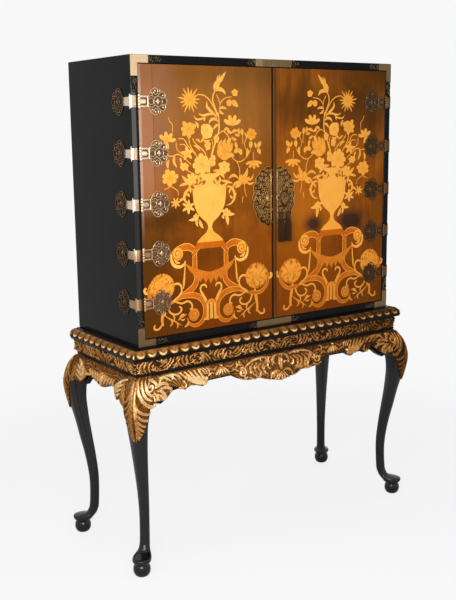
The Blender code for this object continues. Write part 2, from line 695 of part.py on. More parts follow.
def make_flush_bolts(brass, hanger):
    """Bolts let into the back of the left door, drawn back, each with a thumb stud."""
    depth = DOOR_BACK - FLUSH_T
    for name, tip, sign in (("top", DOOR_HIGH - GAP, -1), ("bottom", DOOR_LOW + GAP, 1)):
        tail = tip + sign * FLUSH_LEN
        stud = tail - sign * STUD * 2
        side = [(depth, tip), (DOOR_BACK, tip), (DOOR_BACK, stud - sign * STUD), (DOOR_BACK + STUD, stud - sign * STUD)]
        side += [(DOOR_BACK + STUD, stud), (DOOR_BACK, stud), (DOOR_BACK, tail), (depth, tail)]
        xs = (-FLUSH_X - FLUSH_W / 2, -FLUSH_X + FLUSH_W / 2)
        bar = loft([[(x, y, z) for y, z in side] for x in xs])
        add(f"flush_bolt_{name}", bar, brass, (-FLUSH_X, DOOR_BACK, tip), hanger)


def make_hinges(brass, hangers):
    """Five hinges a side, each a case leaf and a door leaf on one pin."""
    for name, side in (("left", -1), ("right", 1)):
        place = (side * HINGE_X, HINGE_Y, 0)
        patterns = {"case": hinge_case_leaf(side, brass), "door": hinge_door_leaf(side, brass)}
        for kind, pattern in patterns.items():
            hanger = hangers[name] if kind == "door" else None
            for k in range(HINGE_COUNT):
                z = DOOR_MID + (k - (HINGE_COUNT - 1) / 2) * HINGE_PITCH
                link(f"hinge_{kind}_leaf_{name}_{k + 1}", pattern.data, (*place[:2], z), hanger)
            bpy.data.objects.remove(pattern, do_unlink=True)


def make_tray_and_frieze(gilt):
    """Moulded tray under the case, and the leaning frieze frame under the tray."""
    ovolo = [math.pi / 2 * k / 5 for k in range(6)]
    rise = TRAY_T - TRAY_NOSE
    lip = TRAY_FRONT - TRAY_NOSE / 2
    nose = TRAY_NOSE / 2
    outline = [(-FRIEZE_INSET + BEAD_STEP, 0.0), (-nose * 0.3, 0.0)]
    outline += [(-nose + nose * math.cos(t), nose + nose * math.sin(t)) for t in (-0.9, 0.0, 0.9, math.pi / 2)]
    outline += [(-nose - lip + lip * math.cos(t), TRAY_NOSE + rise * math.sin(t)) for t in ovolo]
    sections = []
    for reach, up in outline:
        x = STAND_W / 2 + reach
        front = -STAND_D / 2 - reach
        z = TRAY_LOW + up
        sections.append([(-x, front, z), (x, front, z), (x, STAND_D / 2, z), (-x, STAND_D / 2, z)])
    add("stand_tray", loft(sections), gilt)
    foot = -FRIEZE_INSET - FRIEZE_LEAN
    profile = [
        (-FRIEZE_INSET - FRIEZE_T, 0.0),
        (foot + BEAD_STEP * 0.5, 0.0),
        (foot + BEAD_STEP, FRIEZE_BEAD * 0.5),
        (foot + BEAD_STEP * 0.5, FRIEZE_BEAD),
        (foot, FRIEZE_BEAD),
        (-FRIEZE_INSET, FRIEZE_H),
        (-FRIEZE_INSET - FRIEZE_T, FRIEZE_H),
    ]
    corners = ((-1, -1), (1, -1), (1, 1), (-1, 1))
    rings = []
    for sx, sy in corners:
        ring = [(sx * (STAND_W / 2 + o), sy * (STAND_D / 2 + o), FRIEZE_LOW + up) for o, up in profile]
        rings.append(ring)
    add("frieze_frame", loft(rings, ring=True), gilt)


def apron_face(share):
    """Outward swell of an apron's face, from none at its top to full at its lower edge."""
    return APRON_BULGE * math.sin(math.pi / 2 * share)


def apron(half_length, drops, count, to_world):
    """Apron lofted along its length: a swelling face over a shaped lower edge, flat behind."""
    places, depths = np.array(drops).T
    columns = np.linspace(-half_length, half_length, count + 1)
    lower = np.interp(half_length - np.abs(columns), places, depths)
    deepest = depths.max()
    sections = []
    for along, drop in zip(columns, lower):
        face = [(apron_face(drop * s / deepest), -drop * s) for s in (0.0, 0.35, 0.7, 1.0)]
        loop = [*face, (face[-1][0] - APRON_T, -drop), (-APRON_T, -drop / 2), (-APRON_T, 0.0)]
        sections.append([to_world(along, out, up) for out, up in loop])
    return loft(sections)


def make_aprons(gilt, ebony):
    """Carved aprons on the front and flanks, and a plain rail behind, all between the leg posts."""
    half_front = FOOT_X - POST_IN - GAP
    half_side = FOOT_Y - POST_IN - GAP
    line_x = STAND_W / 2 - APRON_INSET
    line_y = STAND_D / 2 - APRON_INSET

    def on_front(along, out, up):
        return (along, -line_y - out, LEG_TOP + up)

    add("apron_front", apron(half_front, FRONT_APRON_DROPS, FRONT_COLUMNS, on_front), gilt, smooth=30)
    for name, side in (("left", -1), ("right", 1)):

        def on_flank(along, out, up):
            return (side * (line_x + out), along, LEG_TOP + up)

        add(f"apron_{name}", apron(half_side, SIDE_APRON_DROPS, SIDE_COLUMNS, on_flank), gilt, smooth=30)
    low = (-half_front, line_y - APRON_T, LEG_TOP - APRON_BACK_H)
    add("apron_back", board(low, (half_front, line_y, LEG_TOP)), ebony)


def leg_stations():
    """All stations of the leg, from the floor to its top, with heights in metres."""
    ankle = FOOT_STATIONS[-1][0]
    knee = LEG_TOP - KNEE_STATIONS[0][0]
    shank = [(ankle + (knee - ankle) * share, *rest) for share, *rest in SHANK_STATIONS]
    bulge = [(LEG_TOP - depth, *rest) for depth, *rest in KNEE_STATIONS]
    inner = -POST_IN * math.sqrt(2)
    post = [(LEG_TOP - depth, outer, inner, (outer - inner) / 2, 1.0) for depth, outer in POST_STATIONS]
    return [*FOOT_STATIONS, *shank, *bulge, *post]


def make_legs(ebony):
    """Cabriole legs on ball feet: superellipse sections strung along the diagonal of each corner."""
    turns = [2 * math.pi * k / LEG_SIDES for k in range(LEG_SIDES)]
    for end, sy in (("front", -1), ("back", 1)):
        for name, sx in (("left", -1), ("right", 1)):
            sections = []
            for z, outer, inner, half, power in leg_stations():
                middle = (outer + inner) / 2
                reach = (outer - inner) / 2
                loop = []
                for turn in turns:
                    c = math.cos(turn)
                    s = math.sin(turn)
                    swell = (abs(c) ** power + abs(s) ** power) ** (-1 / power)
                    u = middle + reach * swell * c
                    v = half * swell * s
                    x = FOOT_X + (u + v) / math.sqrt(2)
                    y = FOOT_Y + (u - v) / math.sqrt(2)
                    loop.append((sx * x, sy * y, z))
                sections.append(loop)
            add(f"leg_{end}_{name}", loft(sections), ebony, (sx * FOOT_X, sy * FOOT_Y, 0), smooth=35)


def main():
    clear_scene()
    ebony = material("ebonised wood", (0.012, 0.011, 0.011), 0.35)
    walnut = material("figured walnut", (0.24, 0.10, 0.03), 0.25)
    gilt = material("gilt carved wood", (0.42, 0.25, 0.08), 0.42, 0.35)
    brass = material("lacquered brass", (0.72, 0.58, 0.34), 0.28, 1.0)
    lining = material("mahogany lining", (0.20, 0.07, 0.03), 0.4)
    mirror = material("mirror", (0.9, 0.9, 0.9), 0.03, 1.0)
    glass = material("clear glass", (0.85, 0.93, 0.9), 0.05)
    steel = material("dark steel", (0.09, 0.08, 0.075), 0.4, 0.9)
    silk = material("dark silk", (0.05, 0.022, 0.022), 0.8)
    hangers = {
        "left": anchor("left_door_axis", (-HINGE_X, HINGE_Y, DOOR_MID)),
        "right": anchor("right_door_axis", (HINGE_X, HINGE_Y, DOOR_MID)),
    }
    make_case(ebony, lining, mirror, glass, brass)
    make_mounts(brass)
    make_doors(walnut, ebony, hangers)
    make_escutcheons(brass, hangers)
    make_hinges(brass, hangers)
    make_lock(brass, steel, silk, hangers)
    make_flush_bolts(brass, hangers["left"])
    make_tray_and_frieze(gilt)
    make_aprons(gilt, ebony)
    make_legs(ebony)


if __name__ == "__main__":
    main()
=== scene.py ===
"""Looks of a cabinet on stand: marquetry doors, pierced brass, carved gilding and finishes.

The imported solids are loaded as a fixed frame. Each new surface is worked out as whole arrays,
a function of two parameters on a grid or a profile carried along a path, and rides on a body.
"""

import json
import math

import bmesh
import bpy
import numpy as np
from bpy.props import FloatProperty, FloatVectorProperty, IntProperty, PointerProperty
from bpy.types import Operator, Panel, PropertyGroup
from mathutils import Matrix, Vector


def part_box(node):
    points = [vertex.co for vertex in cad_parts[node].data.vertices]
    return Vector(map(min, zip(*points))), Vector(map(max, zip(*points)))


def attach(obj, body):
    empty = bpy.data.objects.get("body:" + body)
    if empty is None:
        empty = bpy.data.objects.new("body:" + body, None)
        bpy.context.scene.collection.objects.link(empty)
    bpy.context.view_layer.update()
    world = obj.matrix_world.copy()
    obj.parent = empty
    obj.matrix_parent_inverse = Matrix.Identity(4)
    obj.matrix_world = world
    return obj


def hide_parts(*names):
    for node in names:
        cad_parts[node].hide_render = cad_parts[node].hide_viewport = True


bl_info = {
    "name": "Marquetry cabinet on stand",
    "version": (1, 0, 0),
    "blender": (4, 5, 0),
    "location": "View3D > Sidebar > Cabinet",
    "description": "Marquetry, brasswork, carving and finishes of a cabinet on stand",
    "category": "Object",
}

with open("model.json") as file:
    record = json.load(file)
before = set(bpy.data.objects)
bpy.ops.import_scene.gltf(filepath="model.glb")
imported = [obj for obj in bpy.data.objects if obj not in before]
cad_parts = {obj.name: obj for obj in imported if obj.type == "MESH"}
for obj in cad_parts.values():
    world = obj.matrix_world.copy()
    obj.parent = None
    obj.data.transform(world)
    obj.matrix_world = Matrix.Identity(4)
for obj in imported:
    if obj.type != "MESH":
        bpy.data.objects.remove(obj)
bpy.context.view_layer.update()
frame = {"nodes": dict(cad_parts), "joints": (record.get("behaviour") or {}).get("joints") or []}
nodes = frame["nodes"]
MM = 0.001

# Points closer than this are one point, and edges shorter than this are taken out
WELD = 2e-6
SLIVER = 1e-7

# Film of air between a flat face and the work laid on it
CLEAR = 0.0004

# Thickness of an inlaid sheet
INLAY_THICK = 0.0003

# Out of the front, and the two sides of the cabinet as the photograph shows them
FORWARD = np.array([0.0, -1.0, 0.0])
SIDES = (("left", -1), ("right", 1))

# Places taken from the frame
DOOR_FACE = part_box("door_left")[0].y
CASE_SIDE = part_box("case_side_right")[1].x
CASE_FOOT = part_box("case_bottom")[0].z
CASE_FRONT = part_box("case_side_left")[0].y
CASE_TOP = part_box("case_top")[1].z
TRAY_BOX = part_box("stand_tray")
FRIEZE_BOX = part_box("frieze_frame")
APRON_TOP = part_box("apron_front")[1].z
HALF_W = TRAY_BOX[1].x
HALF_D = TRAY_BOX[1].y
HINGES = {joint["name"]: joint["pos_m"] for joint in frame["joints"] if joint["type"] == "hinge"}


def cubic(a, b, c, d, t):
    """Catmull-Rom cubic from b to c, whose end slopes are half the chord between their neighbours."""
    return 0.5 * (2 * b + (c - a) * t + (2 * a - 5 * b + 4 * c - d) * t**2 + (3 * b - a - 3 * c + d) * t**3)


def curve(points, count):
    """Catmull-Rom curve through all points, read at even steps. Points may be rows of any shape."""
    points = np.asarray(points, float)
    ends = np.concatenate([2 * points[:1] - points[1:2], points, 2 * points[-1:] - points[-2:-1]])
    at = np.linspace(0, len(points) - 1, count)
    span = np.minimum(at.astype(int), len(points) - 2)
    t = (at - span).reshape(-1, *[1] * (points.ndim - 1))
    return cubic(*(ends[span + k] for k in range(4)), t)


def spiral(centre, outer, inner, turns, start, count=30):
    """Points whose radius falls evenly from outer to inner as the angle grows by the given turns."""
    angle = start + np.linspace(0, 2 * np.pi * turns, count)
    radius = np.linspace(outer, inner, count)
    return np.stack([centre[0] + radius * np.cos(angle), centre[1] + radius * np.sin(angle)], 1)


def sideways(path):
    """Unit normals of a flat path: its slope turned a quarter turn to the left."""
    slope = np.gradient(path, axis=0)
    slope /= np.maximum(np.linalg.norm(slope, axis=1, keepdims=True), 1e-12)
    return np.stack([-slope[:, 1], slope[:, 0]], 1)


def swell(count, start, middle, end):
    """Widths along a stroke: a parabola through the start, middle and end widths."""
    t = np.linspace(0, 1, count)
    return start * (1 - t) * (1 - 2 * t) + middle * 4 * t * (1 - t) + end * t * (2 * t - 1)


def ribbon(path, widths, across=(-1.0, 0.0, 1.0)):
    """Flat strip: each path point is carried along the path's normal to shares of half the width."""
    reach = np.maximum(widths, 0)[:, None, None] / 2 * np.asarray(across)[None, :, None]
    return path[:, None] + sideways(path)[:, None] * reach


def bar(path, widths, height, sides=8):
    """Round-topped wire lying on a plane: an ellipse carried along the path, as wide as the path's
    width there and as tall as the height, both going to nothing at the two ends."""
    turn = np.linspace(0, 2 * np.pi, sides + 1)
    ends = np.minimum(1, np.minimum(np.arange(len(path)), np.arange(len(path))[::-1]))
    girth = np.maximum(widths, 0) * ends
    flat = path[:, None] + sideways(path)[:, None] * (girth[:, None, None] / 2 * np.cos(turn)[None, :, None])
    out = height * np.minimum(1, girth / 2)[:, None] * (0.5 + 0.5 * np.sin(turn))[None]
    return np.dstack([flat, out])


def bloom(centre, radii, petals, depth, turn=0.0, sharp=1.0, rings=4, uneven=0.0):
    """Flower seen from above: a disc whose rim falls in by the depth between its petals, as a raised
    cosine of the angle to the power sharp, and whose petals differ in length by the uneven share.
    Returns points, petal count passed and share of radius."""
    angle = np.linspace(0, 2 * np.pi, max(72, 12 * petals) + 1)
    share = np.linspace(0, 1, rings + 1)
    passed = petals * (angle - turn) / (2 * np.pi)
    fall = (0.5 - 0.5 * np.cos(2 * np.pi * passed)) ** sharp
    shorter = uneven * (0.5 + 0.5 * np.sin(2.4 * (np.round(passed) % petals)))
    rim = (1 - depth * fall) * (1 - shorter * (1 - fall))
    x = centre[0] + share[:, None] * rim * radii[0] * np.cos(angle)
    z = centre[1] + share[:, None] * rim * radii[1] * np.sin(angle)
    grid = np.dstack([x, z])
    return grid, np.broadcast_to(passed + 0.5, x.shape), np.broadcast_to(share[:, None], x.shape)


def turned(profile, centre, count=24):
    """Surface of revolution: radius and height pairs turned round an upright axis."""
    profile = np.asarray(profile, float)
    angle = np.linspace(0, 2 * np.pi, count + 1)
    x = centre[0] + profile[:, :1] * np.cos(angle)
    y = centre[1] + profile[:, :1] * np.sin(angle)
    return np.dstack([x, y, np.broadcast_to(centre[2] + profile[:, 1:], x.shape)])


def hose(path, radii, sides=8):
    """Round section carried along a path in space, square to it, with the radius given at each point."""
    slope = np.gradient(path, axis=0)
    slope /= np.linalg.norm(slope, axis=1, keepdims=True)
    level = np.cross(slope, np.array([0.31, 0.87, 0.39]))
    level /= np.linalg.norm(level, axis=1, keepdims=True)
    upper = np.cross(slope, level)
    turn = np.linspace(0, 2 * np.pi, sides + 1)[None, :, None]
    ring = level[:, None] * np.cos(turn) + upper[:, None] * np.sin(turn)
    return path[:, None] + ring * np.asarray(radii)[:, None, None]


def relief(across, up, strokes):
    """Height of carving: over each point the tallest of the strokes. A stroke is a line of points with
    widths, a height and a count of ridges. Across it the height falls off as the root of one less the
    squared share of its half width, and dips between its ridges as the size of a sine."""
    height = np.zeros(across.shape)
    for path, widths, tall, ridges in strokes:
        low, high = path.min(0) - widths.max() / 2, path.max(0) + widths.max() / 2
        near = (across > low[0]) & (across < high[0]) & (up > low[1]) & (up < high[1])
        spot = np.stack([across[near], up[near]], 1)
        if not len(spot):
            continue
        gap = spot[:, None] - path[None]
        far = np.linalg.norm(gap, axis=2) / np.maximum(widths / 2, 1e-6)
        at = far.argmin(1)
        row = np.arange(len(spot))
        share = far[row, at]
        signed = share * np.sign((gap[row, at] * sideways(path)[at]).sum(1))
        ripple = 0.45 + 0.55 * np.abs(np.sin(np.pi * ridges * (signed + 1) / 2))
        height[near] = np.maximum(height[near], tall * np.sqrt(np.maximum(0, 1 - share**2)) * ripple)
    return height


def stroke(points, width, tall, ridges=1, count=26, end=0.15):
    """One carved line: a curve whose width swells from a point to its middle and falls to the end."""
    return curve(points, count), swell(count, width * 0.35, width, width * end), tall, ridges


def knob(x, z, width, tall=1.0):
    """Round carved bead, as a stroke of no length."""
    return np.array([[x, z], [x, z]], float), np.full(2, float(width)), tall, 1


def both_ways(half):
    """The strokes of one half and their mirror images about the middle line."""
    return [(path * [way, 1], widths, tall, ridges) for way in (1, -1) for path, widths, tall, ridges in half]


def solid_points(node):
    """Points of a solid of the frame, as rows of an array."""
    mesh = nodes[node].data
    places = np.empty(len(mesh.vertices) * 3, np.float32)
    mesh.vertices.foreach_get("co", places)
    return places.reshape(-1, 3).astype(float)


def grid_faces(shape, start=0):
    """Quads between the neighbouring points of a grid, whose points are counted from the start."""
    index = np.arange(start, start + shape[0] * shape[1]).reshape(shape[:2])
    return np.stack([index[:-1, :-1], index[1:, :-1], index[1:, 1:], index[:-1, 1:]], -1).reshape(-1, 4)


def looks_along(grid, towards):
    """Whether the grid's faces, taken together, look along a direction."""
    across = grid[:-1, 1:] - grid[:-1, :-1]
    along = grid[1:, :-1] - grid[:-1, :-1]
    return (np.cross(along, across) * towards).sum() >= 0


def welded_mesh(name, patches, towards):
    """One mesh of grid patches. A patch is an array of points and a dictionary of values at them, which
    become attributes. Coincident points are welded, so seams and poles close. Faces are turned along the
    direction or, where there is none, outwards."""
    keys = sorted({key for _, marks in patches for key in marks})
    points, faces = [], []
    values = {key: [] for key in keys}
    start = 0
    for grid, marks in patches:
        quads = grid_faces(grid.shape, start)
        if towards is not None and not looks_along(grid, towards):
            quads = quads[:, ::-1]
        points.append(grid.reshape(-1, 3))
        faces.append(quads)
        for key in keys:
            values[key].append(np.broadcast_to(marks.get(key, 0.0), grid.shape[:2]).ravel())
        start += grid.shape[0] * grid.shape[1]
    places = np.concatenate(points)
    quads = np.concatenate(faces)
    mesh = bpy.data.meshes.new(name)
    mesh.vertices.add(len(places))
    mesh.vertices.foreach_set("co", places.ravel())
    mesh.loops.add(quads.size)
    mesh.loops.foreach_set("vertex_index", quads.ravel())
    mesh.polygons.add(len(quads))
    mesh.polygons.foreach_set("loop_start", np.arange(0, quads.size, 4))
    mesh.update(calc_edges=True)
    for key in keys:
        mesh.attributes.new(key, "FLOAT", "POINT").data.foreach_set("value", np.concatenate(values[key]))
    shell = bmesh.new()
    shell.from_mesh(mesh)
    bmesh.ops.remove_doubles(shell, verts=shell.verts, dist=WELD)
    bmesh.ops.dissolve_degenerate(shell, edges=shell.edges, dist=SLIVER)
    if towards is None:
        bmesh.ops.recalc_face_normals(shell, faces=shell.faces)
    shell.to_mesh(mesh)
    shell.free()
    return mesh


def piece(name, patches, finish, body, slot, replaces=(), thick=0.0, towards=None, smooth=True):
    """Join grid patches into one object that rides on a body, with a wall behind an open sheet."""
    mesh = welded_mesh(name, patches, towards)
    if not smooth:
        mesh.shade_flat()
    made = bpy.data.objects.new(name, mesh)
    bpy.context.scene.collection.objects.link(made)
    mesh.materials.append(finish)
    if thick:
        wall = made.modifiers.new("wall", "SOLIDIFY")
        wall.thickness = thick
        wall.offset = -1.0
    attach(made, body)
    if replaces:
        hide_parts(*replaces)


def carving(name, grid, marks, thick, towards):
    """A gilt carved skin of the stand."""
    finish = bpy.data.materials["gilt_carving"]
    piece(name, [(grid, marks)], finish, "cabinet", "gilt_wood", thick=thick, towards=towards)


class Wire:
    """A socket that takes part in sums: each operator adds one Math node to the socket's tree."""

    def __init__(self, tree, socket):
        self.tree = tree
        self.socket = socket

    def math(self, operation, other=0.0, swapped=False):
        made = self.tree.nodes.new("ShaderNodeMath")
        made.operation = operation
        pair = (other, self) if swapped else (self, other)
        for socket, value in zip(made.inputs, pair):
            if isinstance(value, Wire):
                self.tree.links.new(value.socket, socket)
            else:
                socket.default_value = value
        return Wire(self.tree, made.outputs[0])

    def __add__(self, other):
        return self.math("ADD", other)

    def __sub__(self, other):
        return self.math("SUBTRACT", other)

    def __rsub__(self, other):
        return self.math("SUBTRACT", other, swapped=True)

    def __mul__(self, other):
        return self.math("MULTIPLY", other)

    def __truediv__(self, other):
        return self.math("DIVIDE", other)

    def __pow__(self, other):
        return self.math("POWER", other)

    def __abs__(self):
        return self.math("ABSOLUTE")

    def __mod__(self, other):
        return self.math("FLOORED_MODULO", other)

    __radd__ = __add__
    __rmul__ = __mul__


class Finish:
    """A node material in the making, with the place of a point in metres at hand."""

    def __init__(self, name):
        self.material = bpy.data.materials.new(name)
        self.material.use_nodes = True
        self.tree = self.material.node_tree
        self.shader = self.tree.nodes["Principled BSDF"]
        self.place = self.node("ShaderNodeTexCoord", out="Object")
        split = self.node("ShaderNodeSeparateXYZ", sockets={0: self.place}).socket.node
        self.x, self.y, self.z = (Wire(self.tree, socket) for socket in split.outputs)

    def join(self, value, socket):
        """Link a wire to a socket, or set the socket's value. A colour of three parts is made opaque."""
        if isinstance(value, Wire):
            self.tree.links.new(value.socket, socket)
        elif hasattr(value, "__len__") and len(value) == 3 and socket.type == "RGBA":
            socket.default_value = (*value, 1.0)
        else:
            socket.default_value = value

    def node(self, kind, settings=None, sockets=None, out=0):
        """Any node: its type, its settings, the values or links of its sockets, and the output wanted."""
        made = self.tree.nodes.new(kind)
        for key, value in (settings or {}).items():
            if key == "stops":
                while len(made.color_ramp.elements) < len(value):
                    made.color_ramp.elements.new(0.5)
                for element, (place, colour) in zip(made.color_ramp.elements, value):
                    element.position = place
                    element.color = (*colour, 1.0)
            else:
                setattr(made, key, value)
        for key, value in (sockets or {}).items():
            self.join(value, made.inputs[key])
        return Wire(self.tree, made.outputs[out])

    def gather(self, x, y, z):
        """A place of three parts."""
        return self.node("ShaderNodeCombineXYZ", sockets={0: x, 1: y, 2: z})

    def mark(self, name):
        """A value that comes with the piece."""
        return self.node("ShaderNodeAttribute", {"attribute_name": name}, out="Fac")

    def noise(self, stretch, detail=4.0, rough=0.55, twist=0.0, place=None):
        """Cloudy noise from 0 to 1, with its count of waves in a metre along each axis."""
        wants = {"Vector": place or self.place, "Scale": stretch}
        sized = self.node("ShaderNodeMapping", {"vector_type": "POINT"}, wants)
        wants = {"Vector": sized, "Scale": 1.0, "Detail": detail, "Roughness": rough, "Distortion": twist}
        return self.node("ShaderNodeTexNoise", sockets=wants)

    def ease(self, value, low, high):
        """Smooth step from 0 at low to 1 at high."""
        wants = {"Value": value, "From Min": low, "From Max": high}
        return self.node("ShaderNodeMapRange", {"interpolation_type": "SMOOTHSTEP"}, wants)

    def ramp(self, value, *stops):
        """Colour read off a row of stops."""
        return self.node("ShaderNodeValToRGB", {"stops": stops}, {0: value})

    def layers(self, colour, *coats):
        """Coats of colour, each with its share, laid over a colour one after another."""
        for share, coat in coats:
            wants = {0: share, 6: colour, 7: coat}
            colour = self.node("ShaderNodeMix", {"data_type": "RGBA"}, wants, out=2)
        return colour

    def shade(self, bump=None, **inputs):
        """Set the shader's inputs, roughen it by a height, strength and depth, and hand over the material."""
        if bump:
            wants = dict(zip(("Height", "Strength", "Distance"), bump))
            inputs["normal"] = self.node("ShaderNodeBump", sockets=wants)
        for key, value in inputs.items():
            self.join(value, self.shader.inputs[key.replace("_", " ").title().replace("Ior", "IOR")])
        return self.material


def black_lacquer(name, colour, gloss=0.045):
    """Ebonised wood: near black with a faint lengthwise grain, rubbed unevenly to a soft gloss, and
    polished on the case's left front edge."""
    made = Finish(name)
    grain = made.noise((90, 90, 9), 5)
    cloud = made.noise((5, 5, 5), 3)
    tone = grain * 0.6 + cloud * 0.5
    edge = made.ease(made.x * -1.0, 0.5035, 0.5055) * made.ease(made.z, CASE_FOOT, CASE_FOOT + 0.01)
    return made.shade(
        bump=(grain, 0.04, 0.0004),
        base_color=made.ramp(tone, (0.3, [part * 0.55 for part in colour]), (0.75, colour)),
        roughness=cloud * 0.07 + grain * 0.05 + 0.07,
        coat_weight=edge * (1 - made.ease(made.y, CASE_FRONT + 0.0005, CASE_FRONT + 0.0010)) * 0.7,
        specular_ior_level=gloss,
    )


# Shadows on the veneer of each door: depth, middle across and up, reach across and up
LEFT_SHADOWS = ((0.5, 0.27, 1.12, 0.30, 0.055), (0.28, 0.18, 1.01, 0.26, 0.07))
RIGHT_SHADOWS = ((0.55, 0.24, 1.41, 0.34, 0.085), (0.3, 0.49, 1.10, 0.06, 0.20))

# Stains on the right door: middle across and up, reach across and up, and where they begin to fade
STAINS = ((0.172, 1.046, 0.046, 0.038, -0.1), (0.340, 1.044, 0.078, 0.050, -0.1))


def figured_walnut(colours):
    """Book-matched walnut: streaks and flame figure mirrored about the meeting line, painted shadows and two
    dark stains that fade with the distance from their middles, a cross-grained band along each hinge edge,
    which on the left door has a painted sheen, a painted sheen near the top, a painted highlight along the
    left door's hinge edge, a deeper tone towards the foot, and a painted shadow line at the meeting edge."""
    made = Finish("figured_walnut")
    z, ease, side = made.z, made.ease, abs(made.x)
    leaf = made.gather(side, 0.0, z)
    cloud = made.noise((5.5, 1, 4.2), 4, 0.55, 0.8, leaf)
    bent = made.gather(side + cloud * 0.05, 0.0, z + cloud * 0.12)
    streak = made.noise((46, 1, 3.2), 6, 0.6, 0.4, bent)
    flame = made.noise((9, 1, 2.2), 5, 0.6, 2.2, bent)
    pore = made.noise((420, 1, 26), 3, place=leaf)
    tone = streak * 0.34 + flame * 0.34 + cloud * 0.38
    front = 1 - ease(made.y, DOOR_FACE + 0.001, DOOR_FACE + 0.002)
    leftward = ease(made.x * -1.0, 0.0, 0.001)
    left = front * leftward
    right = front * (1 - leftward)
    outer = ease(side, 0.24, 0.50)
    wild = (cloud - 0.5) * 1.8

    def spot(across, up, wide, tall, core=0.3):
        """Share of a spot with a cloudy rim."""
        away = (((side - across) / wide) ** 2 + ((z - up) / tall) ** 2) ** 0.5
        return 1 - ease(away + wild, core, 1.3)

    shadows = [
        outer * 0.22,
        spot(0.252, 0.965, 0.075, 0.055) * 0.3,
        (1 - ease(z, 0.74, 1.06)) * (left * 0.2 + 0.5),
        left * outer * (1 - ease(z, 1.06, 1.18)) * 0.6,
        left * (1 - ease(side, 0.02, 0.09)) * ease(z, 1.12, 1.24) * 0.24,
        right * ease(z, 1.30, 1.50) * 0.17,
        ease(z, 1.44, 1.535) * (left * 0.32 + right * ease(side, 0.14, 0.34) * 0.46),
    ]
    shadows += [left * spot(*reach) * depth for depth, *reach in LEFT_SHADOWS]
    shadows += [right * spot(*reach) * depth for depth, *reach in RIGHT_SHADOWS]
    stains = right * sum(spot(*reach) for reach in STAINS)
    # Painted sheen that pales the band along the left door's hinge edge on its upper part
    band_sheen = ease(side, 0.4462, 0.4500) * left * ease(z, 1.07, 1.24) * (1 - ease(z, 1.40, 1.52) * 0.85)
    band = made.layers(colours.band, (made.noise((7, 1, 120), 5, place=leaf) * 0.45, colours.walnut))
    # Painted highlight along the left door's hinge edge, fading near the top
    worn = ease(side, 0.485, 0.4885) * left * ease(z, 1.0, 1.25) * (1 - ease(z, 1.47, 1.54) * 0.6)
    line = ease(side, 0.4464, 0.4470) * (1 - ease(side, 0.4480, 0.4486))
    wood = made.layers(
        made.ramp(tone, (0.36, colours.walnut_dark), (0.54, colours.walnut), (0.72, colours.walnut_light)),
        (spot(0.12, 1.03, 0.17, 0.26) * (right * 0.4 + 0.15), colours.walnut_light),
        # Painted sheen near the top, strongest on the left door
        (ease(z, 1.15, 1.42) * (left * 0.55 + 0.15), colours.walnut_sheen),
        (sum(shadows).math("MINIMUM", 0.92), colours.walnut_dark),
        (front * (1 - ease(z, 0.92, 1.12)) * (0.5 - outer * 0.42), colours.walnut_warm),
        (stains.math("MINIMUM", 0.86), colours.stain),
        # Painted sheen on the left door: it spreads from the band onto the ground and pales the band
        (left * ease(side, 0.32, 0.44) * ease(z, 1.10, 1.26) * 0.4, colours.band),
        (band_sheen * (cloud * 1.1 + 0.2), band),
        # Painted highlight along the left door's hinge edge
        (worn * 0.7, colours.edge),
        (line * 0.6, colours.walnut_dark),
        # Painted shadow of the gap at the meeting edge, on the left door
        ((1 - ease(side, 0.0085, 0.0100)) * left * 0.95, colours.meeting_gap_shadow),
        (ease(pore, 0.62, 0.75) * 0.35, colours.walnut_pore),
    )
    rough = cloud * 0.10 + pore * 0.06 + 0.15
    return made.shade((pore, 0.05, 0.0004), base_color=wood, roughness=rough, specular_ior_level=0.025)


def inlaid_wood(colours):
    """Pale and orange inlay: tone, petal ribs, burnt shading and flecks come with the pieces. On the right
    door the pale inlay is mixed towards a deeper orange, a warmer tone that is partly painted shade of that
    door, and all of it is redder towards the foot."""
    made = Finish("inlaid_wood")
    ease, deep = made.ease, colours.inlay_deep
    plane = made.gather(abs(made.x), 0.0, made.z)
    grain = made.noise((160, 1, 34), 5, 0.6, 0.5, plane)
    cloud = made.noise((26, 1, 26), 3, place=plane)
    tone = made.mark("tone") + (cloud - 0.5) * 0.5
    rib = abs((made.mark("rib") + 1000.0) % 1.0 - 0.5) * 2.0
    pale = ease(made.x, 0.0, 0.001) * (1 - made.mark("tone"))
    fleck = ease(made.noise((75, 1, 75), 3, 0.6, 0.8, plane), 0.50, 0.60) * made.mark("fleck")
    wood = made.layers(
        made.ramp(tone, (0.0, colours.inlay_pale), (0.45, colours.inlay), (1.0, deep)),
        (ease(grain, 0.5, 0.72) * 0.22, deep),
        (ease(rib, 0.84, 0.97) * made.mark("cut") * 0.62, colours.burnt),
        (made.mark("burn") * 0.42, colours.burnt),
        # Right door: a warmer tone that is partly painted shade, stronger towards the foot
        (pale * ((1 - ease(made.z, 0.94, 1.14)) * 0.28 + 0.5), colours.inlay_right),
        ((1 - ease(made.z, 0.72, 1.02)) * 0.50, colours.inlay_foot),
        (fleck * 0.8, [part * 0.55 for part in deep]),
    )
    rough = cloud * 0.12 + 0.24
    return made.shade((grain, 0.04, 0.0004), base_color=wood, roughness=rough, specular_ior_level=0.04)


